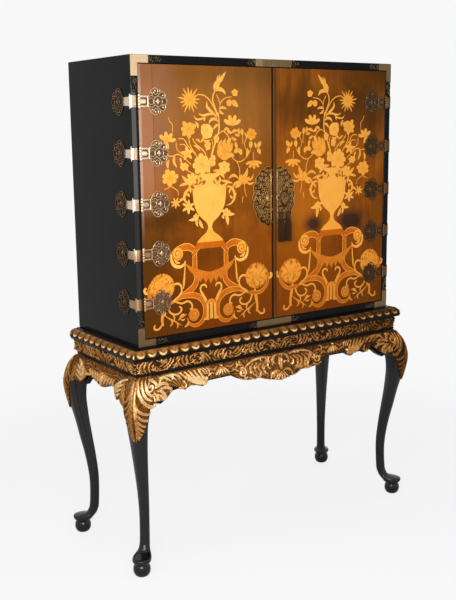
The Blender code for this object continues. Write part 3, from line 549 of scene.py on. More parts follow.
def gilding(colours):
    """Water gilding over carving: worn bright on the crests, with dark brown toning in the hollows, and
    painted shade that makes it a little darker on the flanks and from the left end of the stand to the right."""
    made = Finish("gilt_carving")
    wear = made.noise((95, 95, 95), 5, 0.65)
    patch = made.noise((14, 14, 14), 3)
    # Painted shade: darker from the left end of the stand to the right, and a little on the flanks
    darkened = made.ease(made.x, -0.6, 0.6) * 0.24 + made.ease(made.x, 0.0, 0.6) * 0.11 - 0.10
    darkened = darkened + made.ease(made.y, -0.20, -0.12) * 0.09
    height = made.mark("relief") * 0.96 + (wear - 0.5) * 0.85 + (patch - 0.5) * 0.35 - darkened
    dark = ((0.10, colours.gilt_toning), (0.36, colours.gilt_dark))
    return made.shade(
        bump=(wear, 0.18, 0.0008),
        base_color=made.ramp(height, *dark, (0.66, colours.gilt), (1.0, colours.gilt_bright)),
        metallic=made.ease(height, 0.10, 0.6) * 0.8,
        roughness=0.54 - made.ease(height, 0.3, 0.9) * 0.16 + wear * 0.08,
        specular_ior_level=0.06,
    )


def brass(name, colour, dull, painted_shadow, right_shade):
    """Lacquered brass: fine handling marks and cloudy brown tarnishing, with painted shade that darkens it
    towards the foot and to dark brown towards the right. The sheet behind pierced work has the painted
    shadow colour."""
    made = Finish(name)
    cloud = made.noise((30, 30, 30), 4, 0.6, 0.4)
    fine = made.noise((260, 260, 40), 4)
    # Tarnish from cloudy noise, and painted shade that grows towards the foot and to the right
    tarnish_and_shade = made.ease(cloud + (1.36 - made.z) * 1.1 + made.x * 0.5, 0.34, 0.82)
    handled = made.ease(fine, 0.5, 0.8) * 0.25
    # deep marks the sheets of painted shadow behind pierced work
    deep = made.mark("deep")
    # Painted shade towards the right end
    right = made.ease(made.x, 0.2, 0.42) * 0.82
    metal = made.layers(colour, (tarnish_and_shade * 0.85, dull), (handled, dull), (deep, painted_shadow), (right, right_shade))
    rough = tarnish_and_shade * 0.2 + fine * 0.1 + deep * 0.25 + 0.17
    return made.shade((fine, 0.05, 0.0004), base_color=metal, metallic=1.0, roughness=rough)


def mount_brass(name, colours, pierced):
    """Brass of the case mounts: plain near the corner or the middle, and towards the tips blackened,
    pierced foliage, drawn as specks of worn brass. The pierced function gives its share at a place."""
    made = Finish(name)
    cloud = made.noise((30, 30, 30), 4, 0.6, 0.4)
    # Tarnish from cloudy noise, and painted shade: darker towards the foot and to the right, brightest at the
    # top left
    tarnish_and_shade = made.ease(cloud + (1.29 - made.z) * 1.4 + (made.x + 0.25) * 2.2, 0.0, 0.76)
    speck = made.ease(made.noise((230, 230, 230), 3, 0.6, 0.6), 0.50, 0.60)
    foliage = made.layers(colours.foliage_dark, (speck, colours.foliage_worn))
    share = pierced(made)
    metal = made.layers(colours.brass, (tarnish_and_shade * 0.85, colours.brass_dull), (share, foliage))
    rough = cloud * 0.2 + share * 0.2 + 0.18
    return made.shade((speck * share, 0.5, 0.0012), base_color=metal, metallic=1.0, roughness=rough)


def corner_tips(made):
    """Share of foliage on a corner mount: past 60 mm from both outer edges of the case."""
    across = CASE_SIDE - abs(made.x)
    down = abs(made.z - CASE_TOP).math("MINIMUM", abs(made.z - CASE_FOOT))
    return made.ease(across.math("MAXIMUM", down), 0.0590, 0.0605)


def rail_tips(made):
    """Share of foliage on a rail mount: past 72 mm from the middle."""
    return made.ease(abs(made.x), 0.0715, 0.0730)


def dark_steel(colours):
    """Old steel: dark, with browned patches and a handled sheen."""
    made = Finish("dark_steel")
    cloud = made.noise((90, 90, 90), 5)
    fine = made.noise((500, 500, 500), 3)
    metal = made.layers(colours.steel, (made.ease(cloud, 0.4, 0.7), colours.steel_brown))
    return made.shade((fine, 0.1, 0.0004), base_color=metal, metallic=0.9, roughness=cloud * 0.3 + 0.22)


def silk_thread(colours):
    """Dark silk: threads that vary a little from one to the next."""
    made = Finish("silk_thread")
    shade = made.noise((900, 900, 60), 3)
    colour = made.ramp(shade, (0.3, [part * 0.5 for part in colours.silk]), (0.7, colours.silk))
    return made.shade(base_color=colour, roughness=shade * 0.2 + 0.5, specular_ior_level=0.12)


def mahogany(colours):
    """Plain mahogany of the inside: ribbon grain with open pores under a satin polish."""
    made = Finish("mahogany_lining")
    grain = made.noise((5, 60, 60), 6, 0.6, 0.4)
    pore = made.noise((30, 400, 400), 3)
    wood = made.ramp(grain, (0.3, colours.mahogany_dark), (0.7, colours.mahogany))
    wood = made.layers(wood, (made.ease(pore, 0.6, 0.75) * 0.5, colours.mahogany_pore))
    return made.shade((pore, 0.06, 0.0004), base_color=wood, roughness=pore * 0.12 + 0.3, coat_weight=0.15)


def silvered_glass(colours):
    """Mirror plate with faint cloudy foxing."""
    made = Finish("silvered_glass")
    fox = made.ease(made.noise((7, 7, 7), 5), 0.60, 0.80)
    colour = made.layers(colours.mirror, (fox * 0.35, colours.mirror_fox))
    return made.shade(base_color=colour, metallic=1.0, roughness=fox * 0.25 + 0.02)


def shelf_glass(colours):
    """Clear plate glass with a slight green body and dust-soft surface."""
    made = Finish("shelf_glass")
    dust = made.noise((60, 60, 60), 4)
    colour = made.layers(colours.glass, (dust, colours.glass_dust))
    return made.shade(base_color=colour, roughness=dust * 0.05, transmission_weight=1.0, ior=1.5)


def tint(name, description, default):
    """A colour that can be set in the panel."""
    return FloatVectorProperty(name=name, description=description, subtype="COLOR", default=default)


def metres(name, description, default):
    """A length that can be set in the panel."""
    return FloatProperty(name=name, description=description, unit="LENGTH", default=default)


class CabinetColours(PropertyGroup):
    """Colours of the finishes, as linear values."""

    black: tint("Lacquer", "Ebonised wood", (0.0085, 0.0078, 0.0072))
    bead: tint("Meeting bead", "Rubbed lacquer of the meeting bead", (0.115, 0.046, 0.010))
    walnut: tint("Walnut", "Middle tone of the veneer", (0.335, 0.086, 0.0055))
    walnut_dark: tint("Walnut figure", "Dark figure of the veneer", (0.062, 0.023, 0.0035))
    walnut_light: tint("Walnut light", "Light figure of the veneer", (0.50, 0.148, 0.010))
    # Painted sheen near the top of the veneer, strongest on the left door
    walnut_sheen: tint("Walnut top", "Yellowed veneer near the top", (0.31, 0.125, 0.026))
    walnut_warm: tint("Walnut foot", "Red tone of the veneer near the foot", (0.19, 0.034, 0.0008))
    walnut_pore: tint("Walnut pores", "Open pores of the veneer", (0.03, 0.012, 0.004))
    stain: tint("Stains", "Dark stains of the right door", (0.010, 0.010, 0.011))
    # Painted shadow of the gap at the meeting edge
    meeting_gap_shadow: tint("Meeting line", "Black line at the meeting edge", (0.014, 0.006, 0.002))
    # Painted sheen: the pale, pinkish colour of the band on the left door
    band: tint("Cross-banding", "Bleached band along the hinge edge", (0.36, 0.165, 0.090))
    # Painted highlight along the left door's hinge edge
    edge: tint("Worn edge", "Worn arris of the left door", (0.50, 0.34, 0.26))
    inlay_pale: tint("Pale inlay", "Vase and blossoms", (0.97, 0.545, 0.110))
    inlay: tint("Gold inlay", "Leaves and medallions", (0.91, 0.375, 0.045))
    inlay_deep: tint("Orange inlay", "Pedestal and scrolls", (0.54, 0.112, 0.004))
    # Partly painted shade of the right door's pale inlay
    inlay_right: tint("Right inlay", "Pale inlay of the right door", (1.0, 0.36, 0.036))
    inlay_foot: tint("Low inlay", "Inlay near the foot of the doors", (0.46, 0.105, 0.008))
    burnt: tint("Burnt shading", "Sand-burnt edges and knife lines", (0.20, 0.065, 0.012))
    gilt: tint("Gilding", "Gold leaf", (0.53, 0.245, 0.062))
    gilt_bright: tint("Burnished gilding", "Leaf on the crests", (1.0, 0.735, 0.40))
    gilt_dark: tint("Shaded gilding", "Leaf between crests and hollows", (0.170, 0.064, 0.012))
    gilt_toning: tint("Toning", "Dark brown left in the hollows", (0.028, 0.012, 0.004))
    strap: tint("Straps", "Hinge straps", (0.66, 0.52, 0.36))
    strap_dull: tint("Strap tarnish", "Brown tarnish of the straps", (0.26, 0.122, 0.040))
    # Painted shadow for sheets behind pierced work
    strap_shadow: tint("Strap ground", "Ground behind the straps", (0.045, 0.026, 0.014))
    # Painted shade of the brass towards the right end
    brass_right_shade: tint("Aged brass", "Brass towards the right end", (0.046, 0.023, 0.007))
    brass: tint("Brass", "Corner and rail mounts", (0.64, 0.46, 0.27))
    brass_dull: tint("Tarnish", "Brown tarnish of the mounts", (0.085, 0.044, 0.013))
    foliage_dark: tint("Pierced ground", "Ground of the mounts' foliage", (0.010, 0.009, 0.008))
    foliage_worn: tint("Worn foliage", "Specks of worn brass on the foliage", (0.16, 0.115, 0.060))
    bronze: tint("Toned brass", "Scrollwork on the doors", (0.58, 0.42, 0.26))
    bronze_dull: tint("Scrollwork tarnish", "Brown in the scrollwork", (0.175, 0.098, 0.048))
    # Painted shadow behind the door scrollwork, where the walnut shows through
    bronze_shadow: tint("Scrollwork ground", "Ground behind the scrollwork", (0.15, 0.075, 0.032))
    # Painted shade: a darker copy of the scrollwork brass for the flanks, and the painted shadow behind it
    flank_brass: tint("Browned brass", "Scrollwork on the flanks", (0.108, 0.060, 0.029))
    flank_brass_dull: tint("Flank tarnish", "Brown in the flank scrollwork", (0.070, 0.037, 0.017))
    flank_brass_shadow: tint("Flank ground", "Ground behind the flank scrollwork", (0.014, 0.008, 0.004))
    plate: tint("Lock plates", "Filigree of the lock plates", (0.60, 0.35, 0.130))
    plate_dull: tint("Plate tarnish", "Brown in the filigree", (0.37, 0.190, 0.056))
    # Painted shadow behind the lock plates' filigree, where the walnut shows through
    plate_shadow: tint("Plate ground", "Ground behind the filigree", (0.072, 0.029, 0.006))
    steel: tint("Steel", "Key and lock bolt", (0.065, 0.048, 0.034))
    steel_brown: tint("Browned steel", "Brown patches of the steel", (0.07, 0.045, 0.03))
    silk: tint("Silk", "Tassel threads", (0.062, 0.027, 0.010))
    mahogany: tint("Mahogany", "Inside of the case", (0.22, 0.075, 0.028))
    mahogany_dark: tint("Mahogany figure", "Dark grain of the inside", (0.07, 0.02, 0.008))
    mahogany_pore: tint("Mahogany pores", "Open pores of the inside", (0.03, 0.01, 0.005))
    mirror: tint("Mirror", "Silvered back of the upper part", (0.86, 0.88, 0.87))
    mirror_fox: tint("Foxing", "Clouded silver", (0.42, 0.38, 0.32))
    glass: tint("Glass", "Shelf of plate glass", (0.93, 0.97, 0.95))
    glass_dust: tint("Dusty glass", "Dust on the shelf", (0.86, 0.94, 0.91))
    floor: tint("Floor", "Pale studio floor", (0.88, 0.88, 0.89))


class CabinetSizes(PropertyGroup):
    """Sizes of the added work."""

    inlay_proud: metres("Inlay proud", "How far the inlay stands off the veneer", 0.0002)
    wire_height: metres("Scrollwork height", "Thickness of the pierced brass", 0.0024)
    frieze_depth: metres("Frieze depth", "Height of the frieze carving", 0.0075)
    apron_depth: metres("Apron depth", "Height of the apron carving", 0.0110)
    knee_depth: metres("Knee depth", "Height of the knee carving", 0.0070)
    gadroon_pitch: metres("Gadroon pitch", "Length of one lobe along the tray", 0.0395)
    gadroon_depth: metres("Gadroon depth", "Swell of a lobe", 0.0055)
    carving_step: metres("Carving step", "Spacing of the carving's grid", 0.0019)
    thread_count: IntProperty(name="Threads", description="Threads in one tassel skirt", default=110, min=20)


BLACK_NODES = (
    "case_side_left case_side_right case_top case_bottom apron_back stand_tray frieze_frame "
    "apron_front apron_left apron_right"
).split()
STRAP_NODES = (
    "shelf_bearer_left shelf_bearer_right lock_case strike_keep flush_bolt_top flush_bolt_bottom"
).split()


def named(words):
    """Names of the solids that have these words in them."""
    return [name for name in nodes if words in name]


class CABINET_OT_finishes(Operator):
    """Give every solid of the frame its finish"""

    bl_idname = "cabinet.finishes"
    bl_label = "Case finishes"

    def execute(self, context):
        colours = context.scene.cabinet_colours
        strap = (colours.strap, colours.strap_dull, colours.strap_shadow, colours.brass_right_shade)
        groups = {
            black_lacquer("black_lacquer", colours.black): BLACK_NODES,
            black_lacquer("leg_lacquer", colours.black, gloss=0.30): named("leg_"),
            black_lacquer("rubbed_bead", colours.bead): ["meeting_bead"],
            mount_brass("corner_brass", colours, corner_tips): named("corner_mount"),
            mount_brass("rail_brass", colours, rail_tips): named("rail_mount"),
            figured_walnut(colours): ["door_left", "door_right"],
            brass("brass_strap", *strap): STRAP_NODES + named("hinge") + named("escutcheon"),
            mahogany(colours): ["case_back", "shelf"],
            silvered_glass(colours): ["back_mirror"],
            shelf_glass(colours): ["glass_shelf"],
            dark_steel(colours): ["key", "lock_bolt"],
            silk_thread(colours): ["tassel"],
        }
        for finish, names in groups.items():
            for name in names:
                for slot in nodes[name].material_slots:
                    slot.material = finish
        return {"FINISHED"}


# Marquetry of the left door in millimetres across and up; the right door is its mirror.
# The stand of the vase is symmetric about this line.
VASE_LINE = -252.0

# Height and half width of the vase, its bell foot, and the band and dome of its stand
VASE = (
    (1229, 30), (1226, 37), (1221, 37), (1214, 23), (1207, 15), (1199, 17), (1192, 33), (1187, 55),
    (1182, 62), (1172, 62), (1150, 60), (1134, 57), (1120, 51), (1106, 43), (1092, 29), (1081, 15),
    (1072, 9), (1062, 7), (1057, 9),
)
BELL = ((1058, 9), (1050, 13), (1043, 22), (1036, 33), (1028, 42), (1019, 50))
BAND = ((1019, 50), (1012, 54), (1005, 60), (999, 66))
DOME = ((838, 4), (834, 12), (829, 17), (822, 19))

# Scrolls of the stand, left half: tone, widths along the line, then across and up of its points
STAND_SCROLLS = (
    (1.00, (15, 17, 18, 19, 20, 22, 19, 12, 3), -311, 1004, -311, 970, -311, 935, -305, 910, -312, 889,
     -333, 871, -358, 860, -385, 848, -414, 834),
    (0.98, (13, 20, 23, 22, 18, 11), -307, 984, -318, 1000, -336, 1009, -357, 1008, -380, 1000, -395, 986),
    (0.12, (5, 9, 11, 10, 7, 4), -397, 990, -395, 970, -386, 956, -367, 950, -351, 956, -346, 966),
    (0.15, (3, 7, 4), -386, 974, -378, 965, -366, 962),
    (0.95, (5, 17, 19, 19, 17, 16, 15, 14, 12, 9, 3), -384, 852, -352, 858, -322, 857, -297, 848, -280,
     829, -275, 806, -279, 783, -293, 766, -314, 760, -334, 768, -343, 787),
    (1.00, (12, 15, 10), -318, 982, -300, 1002, -282, 1010),
    (0.22, (11, 9, 7, 6.5, 7, 6, 4), -271, 832, -282, 852, -291, 867, -291, 879, -283, 885, -273, 883,
     -270, 875),
    (0.25, (4, 6.5, 6.5, 6, 6.5, 4), -390, 846, -363, 836, -342, 840, -328, 833, -324, 818, -333, 813),
    (0.25, (7, 6, 6, 6, 6, 5), -413, 832, -405, 813, -388, 804, -371, 807, -363, 819, -372, 828),
    (0.22, (5, 7, 7, 6.5, 6.5, 4), -398, 890, -383, 899, -368, 896, -361, 880, -369, 862, -396, 843),
    (0.15, (4, 8, 9, 8, 6), -468, 884, -481, 880, -491, 883, -493, 892, -487, 897),
    (0.45, (8, 12, 9, 9, 5), -424, 850, -429, 822, -433, 803, -434, 786, -430, 774),
    (0.25, (5, 6.5, 6.5, 5), -434, 779, -447, 766, -462, 768, -461, 781),
    (0.95, (12, 13, 12, 10, 5), -405, 839, -447, 838, -473, 861, -478, 890, -466, 915),
    (0.40, (3, 5, 6, 8, 2), -347, 956, -349, 938, -351, 915, -353, 898, -355, 880),
    (0.15, (9, 9, 9), -266, 824, -266, 800, -267, 776),
    (0.25, (8, 6, 3), -337, 776, -345, 764, -354, 761),
    (0.20, (10, 6), -262, 776, -280, 775),
)
CENTRE_REED = (0.10, (10, 11, 13), -252, 824, -252, 800, -252, 774)
VOLUTES = ((-374, 990, 20, 0.45), (-318, 795, 20, 0.70))
MEDALLION = (-431, 893, 44)
DRAPE_TOP = ((-347, 960), (-330, 949), (-303, 937), (-275, 928), (-252, 924))
DRAPE_FRINGE = (
    (-347, 957), (-334, 938), (-318, 922), (-307, 904), (-300, 912), (-291, 894), (-282, 909),
    (-272, 888), (-262, 905), (-252, 884),
)

# Sprays beside the stand: tone of all, and for each its width, then across and up of its points
SPRAY_TONE = 0.3
STAND_SPRAYS = (
    (5, -426, 806, -404, 791, -384, 780, -360, 764),
    (5.5, -345, 800, -362, 794, -380, 783),
    (5.5, -404, 792, -398, 778, -408, 769),
    (5.5, -384, 782, -378, 770, -382, 759),
    (5.5, -392, 785, -390, 796, -398, 805),
    (6, -372, 790, -362, 800, -352, 800),
    (5.5, -370, 786, -358, 783, -350, 787),
)

# Stems and leaves of the bouquet: tone, width, then across and up of its points
STEMS = (
    (0.30, 3.7, -290, 1466, -268, 1463, -250, 1452, -238, 1437, -226, 1418, -216, 1398),
    (0.20, 4.3, -226, 1478, -234, 1462, -235, 1447, -226, 1425, -215, 1402),
    (0.10, 4.6, -216, 1412, -213, 1385, -214, 1358, -222, 1336, -236, 1300, -247, 1262, -252, 1226),
    (0.35, 3.1, -210, 1420, -207, 1440, -194, 1453, -178, 1458, -164, 1459),
    (0.30, 3.1, -222, 1466, -213, 1452, -208, 1437),
    (0.45, 2.8, -396, 1400, -390, 1386, -381, 1376, -382, 1354),
    (0.40, 3.7, -362, 1336, -346, 1336, -336, 1327, -330, 1316, -310, 1296, -285, 1270),
    (0.40, 3.1, -358, 1318, -343, 1319, -332, 1308, -318, 1296),
    (0.45, 2.8, -370, 1326, -368, 1308, -357, 1295, -338, 1283),
    (0.35, 3.7, -410, 1290, -386, 1285, -364, 1290, -345, 1280, -318, 1258),
    (0.30, 3.7, -312, 1336, -300, 1320, -284, 1308, -270, 1296, -262, 1280, -256, 1250),
    (0.30, 3.1, -241, 1332, -237, 1310, -243, 1286, -250, 1250),
    (0.30, 3.7, -213, 1348, -201, 1356, -188, 1350, -177, 1336, -178, 1322),
    (0.40, 2.8, -176, 1334, -152, 1333),
    (0.45, 2.8, -124, 1345, -123, 1330, -122, 1313),
    (0.45, 2.8, -104, 1338, -112, 1328, -116, 1312, -112, 1298),
    (0.40, 3.1, -166, 1276, -150, 1264, -134, 1261, -118, 1268, -104, 1280, -92, 1298),
    (0.40, 2.8, -148, 1263, -138, 1243, -136, 1222, -140, 1205),
    (0.45, 2.8, -83, 1290, -82, 1275, -82, 1262),
    (0.40, 2.8, -416, 1188, -402, 1191, -394, 1196, -380, 1190, -368, 1181, -366, 1168),
    (0.45, 3.1, -396, 1200, -397, 1215),
    (0.45, 2.8, -118, 1190, -116, 1168, -110, 1150),
    (0.45, 2.8, -124, 1152, -128, 1132),
    (0.35, 3.1, -205, 1240, -222, 1225, -240, 1218),
    (0.35, 3.1, -345, 1248, -320, 1235, -290, 1222, -262, 1222),
    (0.35, 3.1, -325, 1340, -322, 1322, -314, 1306, -300, 1290),
)
LEAVES = (
    (0.15, 9, -257, 1446, -257, 1431, -246, 1419, -230, 1407, -219, 1394),
    (0.15, 7, -216, 1404, -246, 1408, -272, 1404, -291, 1410),
    (0.20, 6, -258, 1403, -276, 1394, -296, 1393, -306, 1404),
    (0.20, 6, -264, 1399, -269, 1386),
    (0.15, 9, -213, 1384, -228, 1393, -243, 1390, -251, 1379),
    (0.20, 9, -212, 1374, -224, 1373, -236, 1361),
    (0.20, 21, -227, 1474, -220, 1494, -203, 1516),
    (0.20, 6, -220, 1496, -217, 1511, -214, 1525),
    (0.20, 6, -214, 1500, -210, 1514, -207, 1527),
    (0.20, 6, -208, 1504, -203, 1515, -199, 1525),
    (0.20, 10, -210, 1498, -199, 1516, -185, 1535),
    (0.50, 14, -214, 1286, -212, 1312, -203, 1331),
    (0.50, 16, -199, 1288, -197, 1314, -189, 1335),
    (0.50, 14, -185, 1288, -179, 1310, -173, 1328),
    (0.50, 12, -179, 1286, -169, 1304, -164, 1322),
    (0.45, 12, -186, 1277, -173, 1281, -158, 1283),
    (0.20, 12, -228, 1478, -212, 1482, -197, 1478, -186, 1465),
    (0.30, 17, -164, 1449, -152, 1439, -140, 1429),
    (0.25, 8, -213, 1425, -196, 1427, -183, 1422),
    (0.25, 8, -212, 1420, -205, 1412, -193, 1407),
    (0.25, 8, -300, 1386, -292, 1376, -291, 1364),
    (0.25, 8, -312, 1380, -302, 1374, -296, 1376),
    (0.30, 9, -376, 1290, -379, 1268, -368, 1250),
    (0.30, 9, -396, 1276, -402, 1262, -400, 1248),
    (0.30, 8, -358, 1280, -352, 1264),
    (0.25, 7, -308, 1316, -295, 1310, -284, 1298),
    (0.25, 7, -300, 1334, -290, 1330, -283, 1322),
    (0.25, 8, -283, 1324, -272, 1334, -268, 1345),
    (0.25, 9, -270, 1330, -262, 1326, -246, 1330),
    (0.25, 10, -184, 1368, -176, 1354, -163, 1349),
    (0.30, 9, -168, 1350, -154, 1357, -142, 1357),
    (0.30, 8, -154, 1346, -144, 1343, -134, 1340),
    (0.35, 13, -127, 1363, -126, 1352, -124, 1342),
    (0.30, 11, -151, 1324, -149, 1312, -144, 1300),
    (0.35, 15, -158, 1290, -147, 1296, -138, 1297),
    (0.35, 15, -144, 1300, -133, 1292, -129, 1281),
    (0.35, 11, -108, 1302, -105, 1290, -110, 1276),
    (0.35, 15, -92, 1324, -92, 1312, -94, 1300),
    (0.35, 9, -77, 1320, -73, 1310, -70, 1302),
    (0.35, 14, -52, 1322, -60, 1311, -64, 1302),
    (0.35, 13, -67, 1300, -59, 1292, -54, 1281),
    (0.30, 12, -186, 1322, -176, 1326, -170, 1336),
    (0.30, 14, -184, 1282, -170, 1284, -156, 1278),
    (0.25, 13, -238, 1237, -218, 1234, -204, 1224, -194, 1211),
    (0.25, 10, -234, 1216, -225, 1201, -205, 1190),
    (0.25, 9, -208, 1206, -188, 1202, -163, 1195),
    (0.25, 9, -212, 1188, -196, 1190, -180, 1200),
    (0.25, 11, -352, 1226, -334, 1208, -320, 1192),
    (0.30, 9, -362, 1196, -342, 1201, -322, 1203),
    (0.30, 9, -328, 1196, -323, 1184, -321, 1172),
    (0.25, 9, -302, 1226, -290, 1212, -296, 1196),
    (0.20, 9, -285, 1205, -272, 1214, -263, 1206),
    (0.20, 11, -314, 1198, -300, 1190, -286, 1194, -276, 1204),
    (0.20, 9, -222, 1196, -212, 1206, -214, 1218),
    (0.45, 17, -134, 1190, -124, 1206, -112, 1220, -104, 1242),
    (0.40, 13, -132, 1192, -134, 1206, -128, 1222),
    (0.45, 14, -128, 1192, -112, 1200, -98, 1214),
    (0.35, 9, -166, 1178, -158, 1190, -146, 1198, -128, 1202),
    (0.30, 8, -196, 1356, -186, 1364, -176, 1362),
    (0.30, 8, -164, 1338, -156, 1330, -146, 1330),
    (0.30, 9, -138, 1366, -139, 1354, -134, 1344),
    (0.30, 7, -116, 1350, -110, 1342, -108, 1330),
    (0.35, 9, -140, 1208, -156, 1219, -170, 1217, -180, 1208),
    (0.40, 8, -110, 1206, -94, 1204, -81, 1220),
    (0.40, 7, -114, 1197, -94, 1190, -78, 1196),
    (0.30, 14, -134, 1202, -140, 1190, -156, 1180),
    (0.15, 13, -200, 1106, -178, 1100, -156, 1098),
    (0.10, 13, -190, 1100, -186, 1084, -184, 1064),
    (0.20, 10, -202, 1100, -202, 1092, -198, 1086),
    (0.15, 11, -296, 1100, -312, 1092, -332, 1090),
    (0.20, 9, -302, 1092, -302, 1080, -297, 1068),
    (0.20, 11, -292, 1090, -286, 1074, -277, 1061),
    (0.20, 9, -192, 1183, -178, 1186, -164, 1177, -157, 1160, -161, 1143, -174, 1131, -194, 1127),
    (0.20, 7, -168, 1178, -176, 1172, -176, 1163),
    (0.20, 7, -158, 1161, -148, 1160),
    (0.20, 7, -162, 1150, -170, 1152, -174, 1160),
    (0.20, 9, -312, 1184, -328, 1184, -341, 1173, -345, 1158, -338, 1146, -322, 1140),
    (0.25, 8, -345, 1160, -356, 1154, -362, 1155),
    (0.20, 8, -340, 1168, -330, 1168, -327, 1160),
    (0.30, 15, -410, 1334, -404, 1320, -396, 1306),
)

# Flowers: across, up, half width, half height, petals, depth between petals, turn, sharpness, tone and
# unevenness
FLOWERS = (
    (-319, 1450, 47, 45, 15, 0.62, 0.05, 0.5, 0.45, 0.3),
    (-152, 1472, 13, 13, 5, 0.29, 0.4, 2.4, 0.3, 0.16),
    (-174, 1441, 11, 11, 5, 0.12, 0.1, 1, 0.35),
    (-326, 1363, 33, 28, 7, 0.36, 0.35, 1.3, 0.45, 0.25),
    (-259, 1357, 25, 25, 6, 0.14, 0.2, 2.4, 0.15, 0.16),
    (-89, 1345, 22, 20, 7, 0.26, 0.1, 2.4, 0.55, 0.16),
    (-195, 1294, 27, 27, 3, 0.05, 0.9, 1, 0.5),
    (-256, 1313, 12, 15, 5, 0.22, 0.5, 1, 0.2),
    (-224, 1333, 11, 14, 5, 0.18, 0.3, 1, 0.15),
    (-331, 1292, 24, 22, 5, 0.52, 0.45, 0.7, 0.25),
    (-279, 1257, 36, 34, 8, 0.23, 0.1, 2.4, 0.15, 0.16),
    (-239, 1268, 13, 23, 5, 0.29, 0.6, 2.4, 0.2, 0.16),
    (-343, 1253, 18, 14, 6, 0.32, 0.2, 2.4, 0.2, 0.16),
    (-394, 1222, 32, 26, 7, 0.29, 0.15, 2.4, 0.35, 0.16),
    (-195, 1246, 24, 22, 6, 0.26, 0.5, 2.4, 0.2, 0.16),
    (-316, 1215, 21, 20, 6, 0.35, 0.3, 2.4, 0.22, 0.16),
    (-376, 1146, 20, 18, 7, 0.6, 0.2, 0.6, 0.35),
    (-330, 1131, 26, 23, 6, 0.58, 0.5, 0.7, 0.2),
    (-190, 1106, 17, 15, 5, 0.38, 0.2, 2.4, 0.15, 0.16),
    (-303, 1098, 11, 12, 5, 0.28, 0.3, 1, 0.18),
    (-428, 811, 9, 9, 5, 0.15, 0.3, 1, 0.2),
)

# Fan-shaped flowers: foot, reach across and up, first and last angle in degrees, petals, tone
FANS = (
    ((-163, 1371), (37, 35), 12, 166, 4, 0.25),
    ((-402, 1328), (32, 29), -8, 160, 4, 0.30),
    ((-80, 1264), (35, 27), 190, 350, 5, 0.45),
)


def about_vase(points):
    """The points mirrored about the vase's line."""
    points = np.asarray(points, float).copy()
    points[..., 0] = 2 * VASE_LINE - points[..., 0]
    return points


def pairs(row):
    """Points of a row that gives across and up by turns."""
    return np.reshape(row, (-1, 2)).astype(float)


def inlay(grid, tone, burn=0.0, rib=0.5, cut=0.0, fleck=0.0):
    """A sheet of inlay and its marks: tone, burnt shading, place among the ribs, knife lines and flecks."""
    return grid, {"tone": tone, "rib": rib, "cut": cut, "burn": burn, "fleck": fleck}


# Points across a strip, in shares of half its width; a scroll has a string along each edge
LEAF_ACROSS = np.array([-1, -0.5, 0, 0.5, 1])
SCROLL_ACROSS = np.array([-1, -0.86, -0.76, 0, 0.76, 0.86, 1])


def strip(points, widths, tone, leafy=False):
    """Inlaid strip with its marks: leaves carry a cut midrib and a burnt base, dark scrolls a pale string
    along both edges."""
    count = 10 + 6 * len(points)
    across = LEAF_ACROSS if leafy else SCROLL_ACROSS
    along = np.linspace(0, 1, count)
    girth = np.interp(along, np.linspace(0, 1, len(widths)), widths)
    burn = 0.8 * (1 - along[:, None]) ** 4 if leafy else 0.0
    edged = tone - 0.75 * (tone > 0.6) * (np.abs(across) > 0.8)
    return inlay(ribbon(curve(points, count), girth, across), edged, burn, across / 2, 0.5 * leafy)


def leaf(points, width, tone):
    """Leaf strip: narrow at the stalk, widest before its middle and pointed."""
    t = np.linspace(0, 1, 9)
    return strip(points, width * np.maximum(0.25 * (1 - t), np.sin(np.pi * t**0.8) ** 0.75), tone, True)


def fan(foot, reach, first, last, petals, tone):
    """Fan of petals: a sector about the foot whose rim falls in narrowly between its petals."""
    angle = np.radians(np.linspace(first, last, 12 * petals + 1))
    passed = np.linspace(0, petals, 12 * petals + 1)
    share = np.linspace(0, 1, 6)[:, None]
    rim = share * (1 - 0.38 * (0.5 + 0.5 * np.cos(2 * np.pi * passed)) ** 2)
    grid = np.dstack([foot[0] + rim * reach[0] * np.cos(angle), foot[1] + rim * reach[1] * np.sin(angle)])
    return inlay(grid, tone, 0.8 * (1 - share) ** 3, passed, 0.6)


def profile_sheet(rows, tone):
    """Sheet symmetric about the vase's line: half widths at heights, smoothed along the height."""
    rows = curve(rows, 8 * len(rows))
    t = np.linspace(-1, 1, 9)
    grid = np.dstack([VASE_LINE + rows[:, 1:] * t, np.broadcast_to(rows[:, :1], (len(rows), 9))])
    return inlay(grid, tone, 0.18 * np.abs(t) ** 10)


def flower(x, z, wide, tall, petals, depth, turn, sharp, tone, uneven=0.0):
    """Inlaid flower with cut petals and a burnt heart."""
    grid, passed, share = bloom((x, z), (wide, tall), petals, depth, turn, sharp, uneven=uneven)
    burn = 0.75 * np.maximum(0, 1 - share * 2.2) ** 1.2
    return inlay(grid, tone, burn, passed, np.clip((share - 0.15) * 2, 0, 1) * 0.75)


def drape():
    """Fringed cloth on the left half of the stand, straight between its upper and lower outlines."""
    top = np.array(DRAPE_TOP, float)
    fringe = np.array(DRAPE_FRINGE, float)
    share = np.linspace(0, 1, 5)
    across = np.linspace(top[0, 0], top[-1, 0], 90)[:, None]
    upper = np.interp(across, top[:, 0], top[:, 1])
    lower = np.interp(across, fringe[:, 0], fringe[:, 1])
    grid = np.dstack([np.broadcast_to(across, (90, 5)), upper * (1 - share) + lower * share])
    return inlay(grid, 0.87, rib=across / 10.0 + 0.3, cut=0.35 * share)


def volute(x, z, radius, tone):
    """Round end of a scroll: a disc with a burnt coil on it."""
    disc, _, share = bloom((x, z), (radius, radius), 1, 0.0)
    coil = spiral((x, z), radius * 0.95, 3, 1.6, 2.4, 40)
    return [inlay(disc, tone, 0.1 * share**4), inlay(ribbon(coil, np.full(40, 2.4)), 1.0, 1.0)]


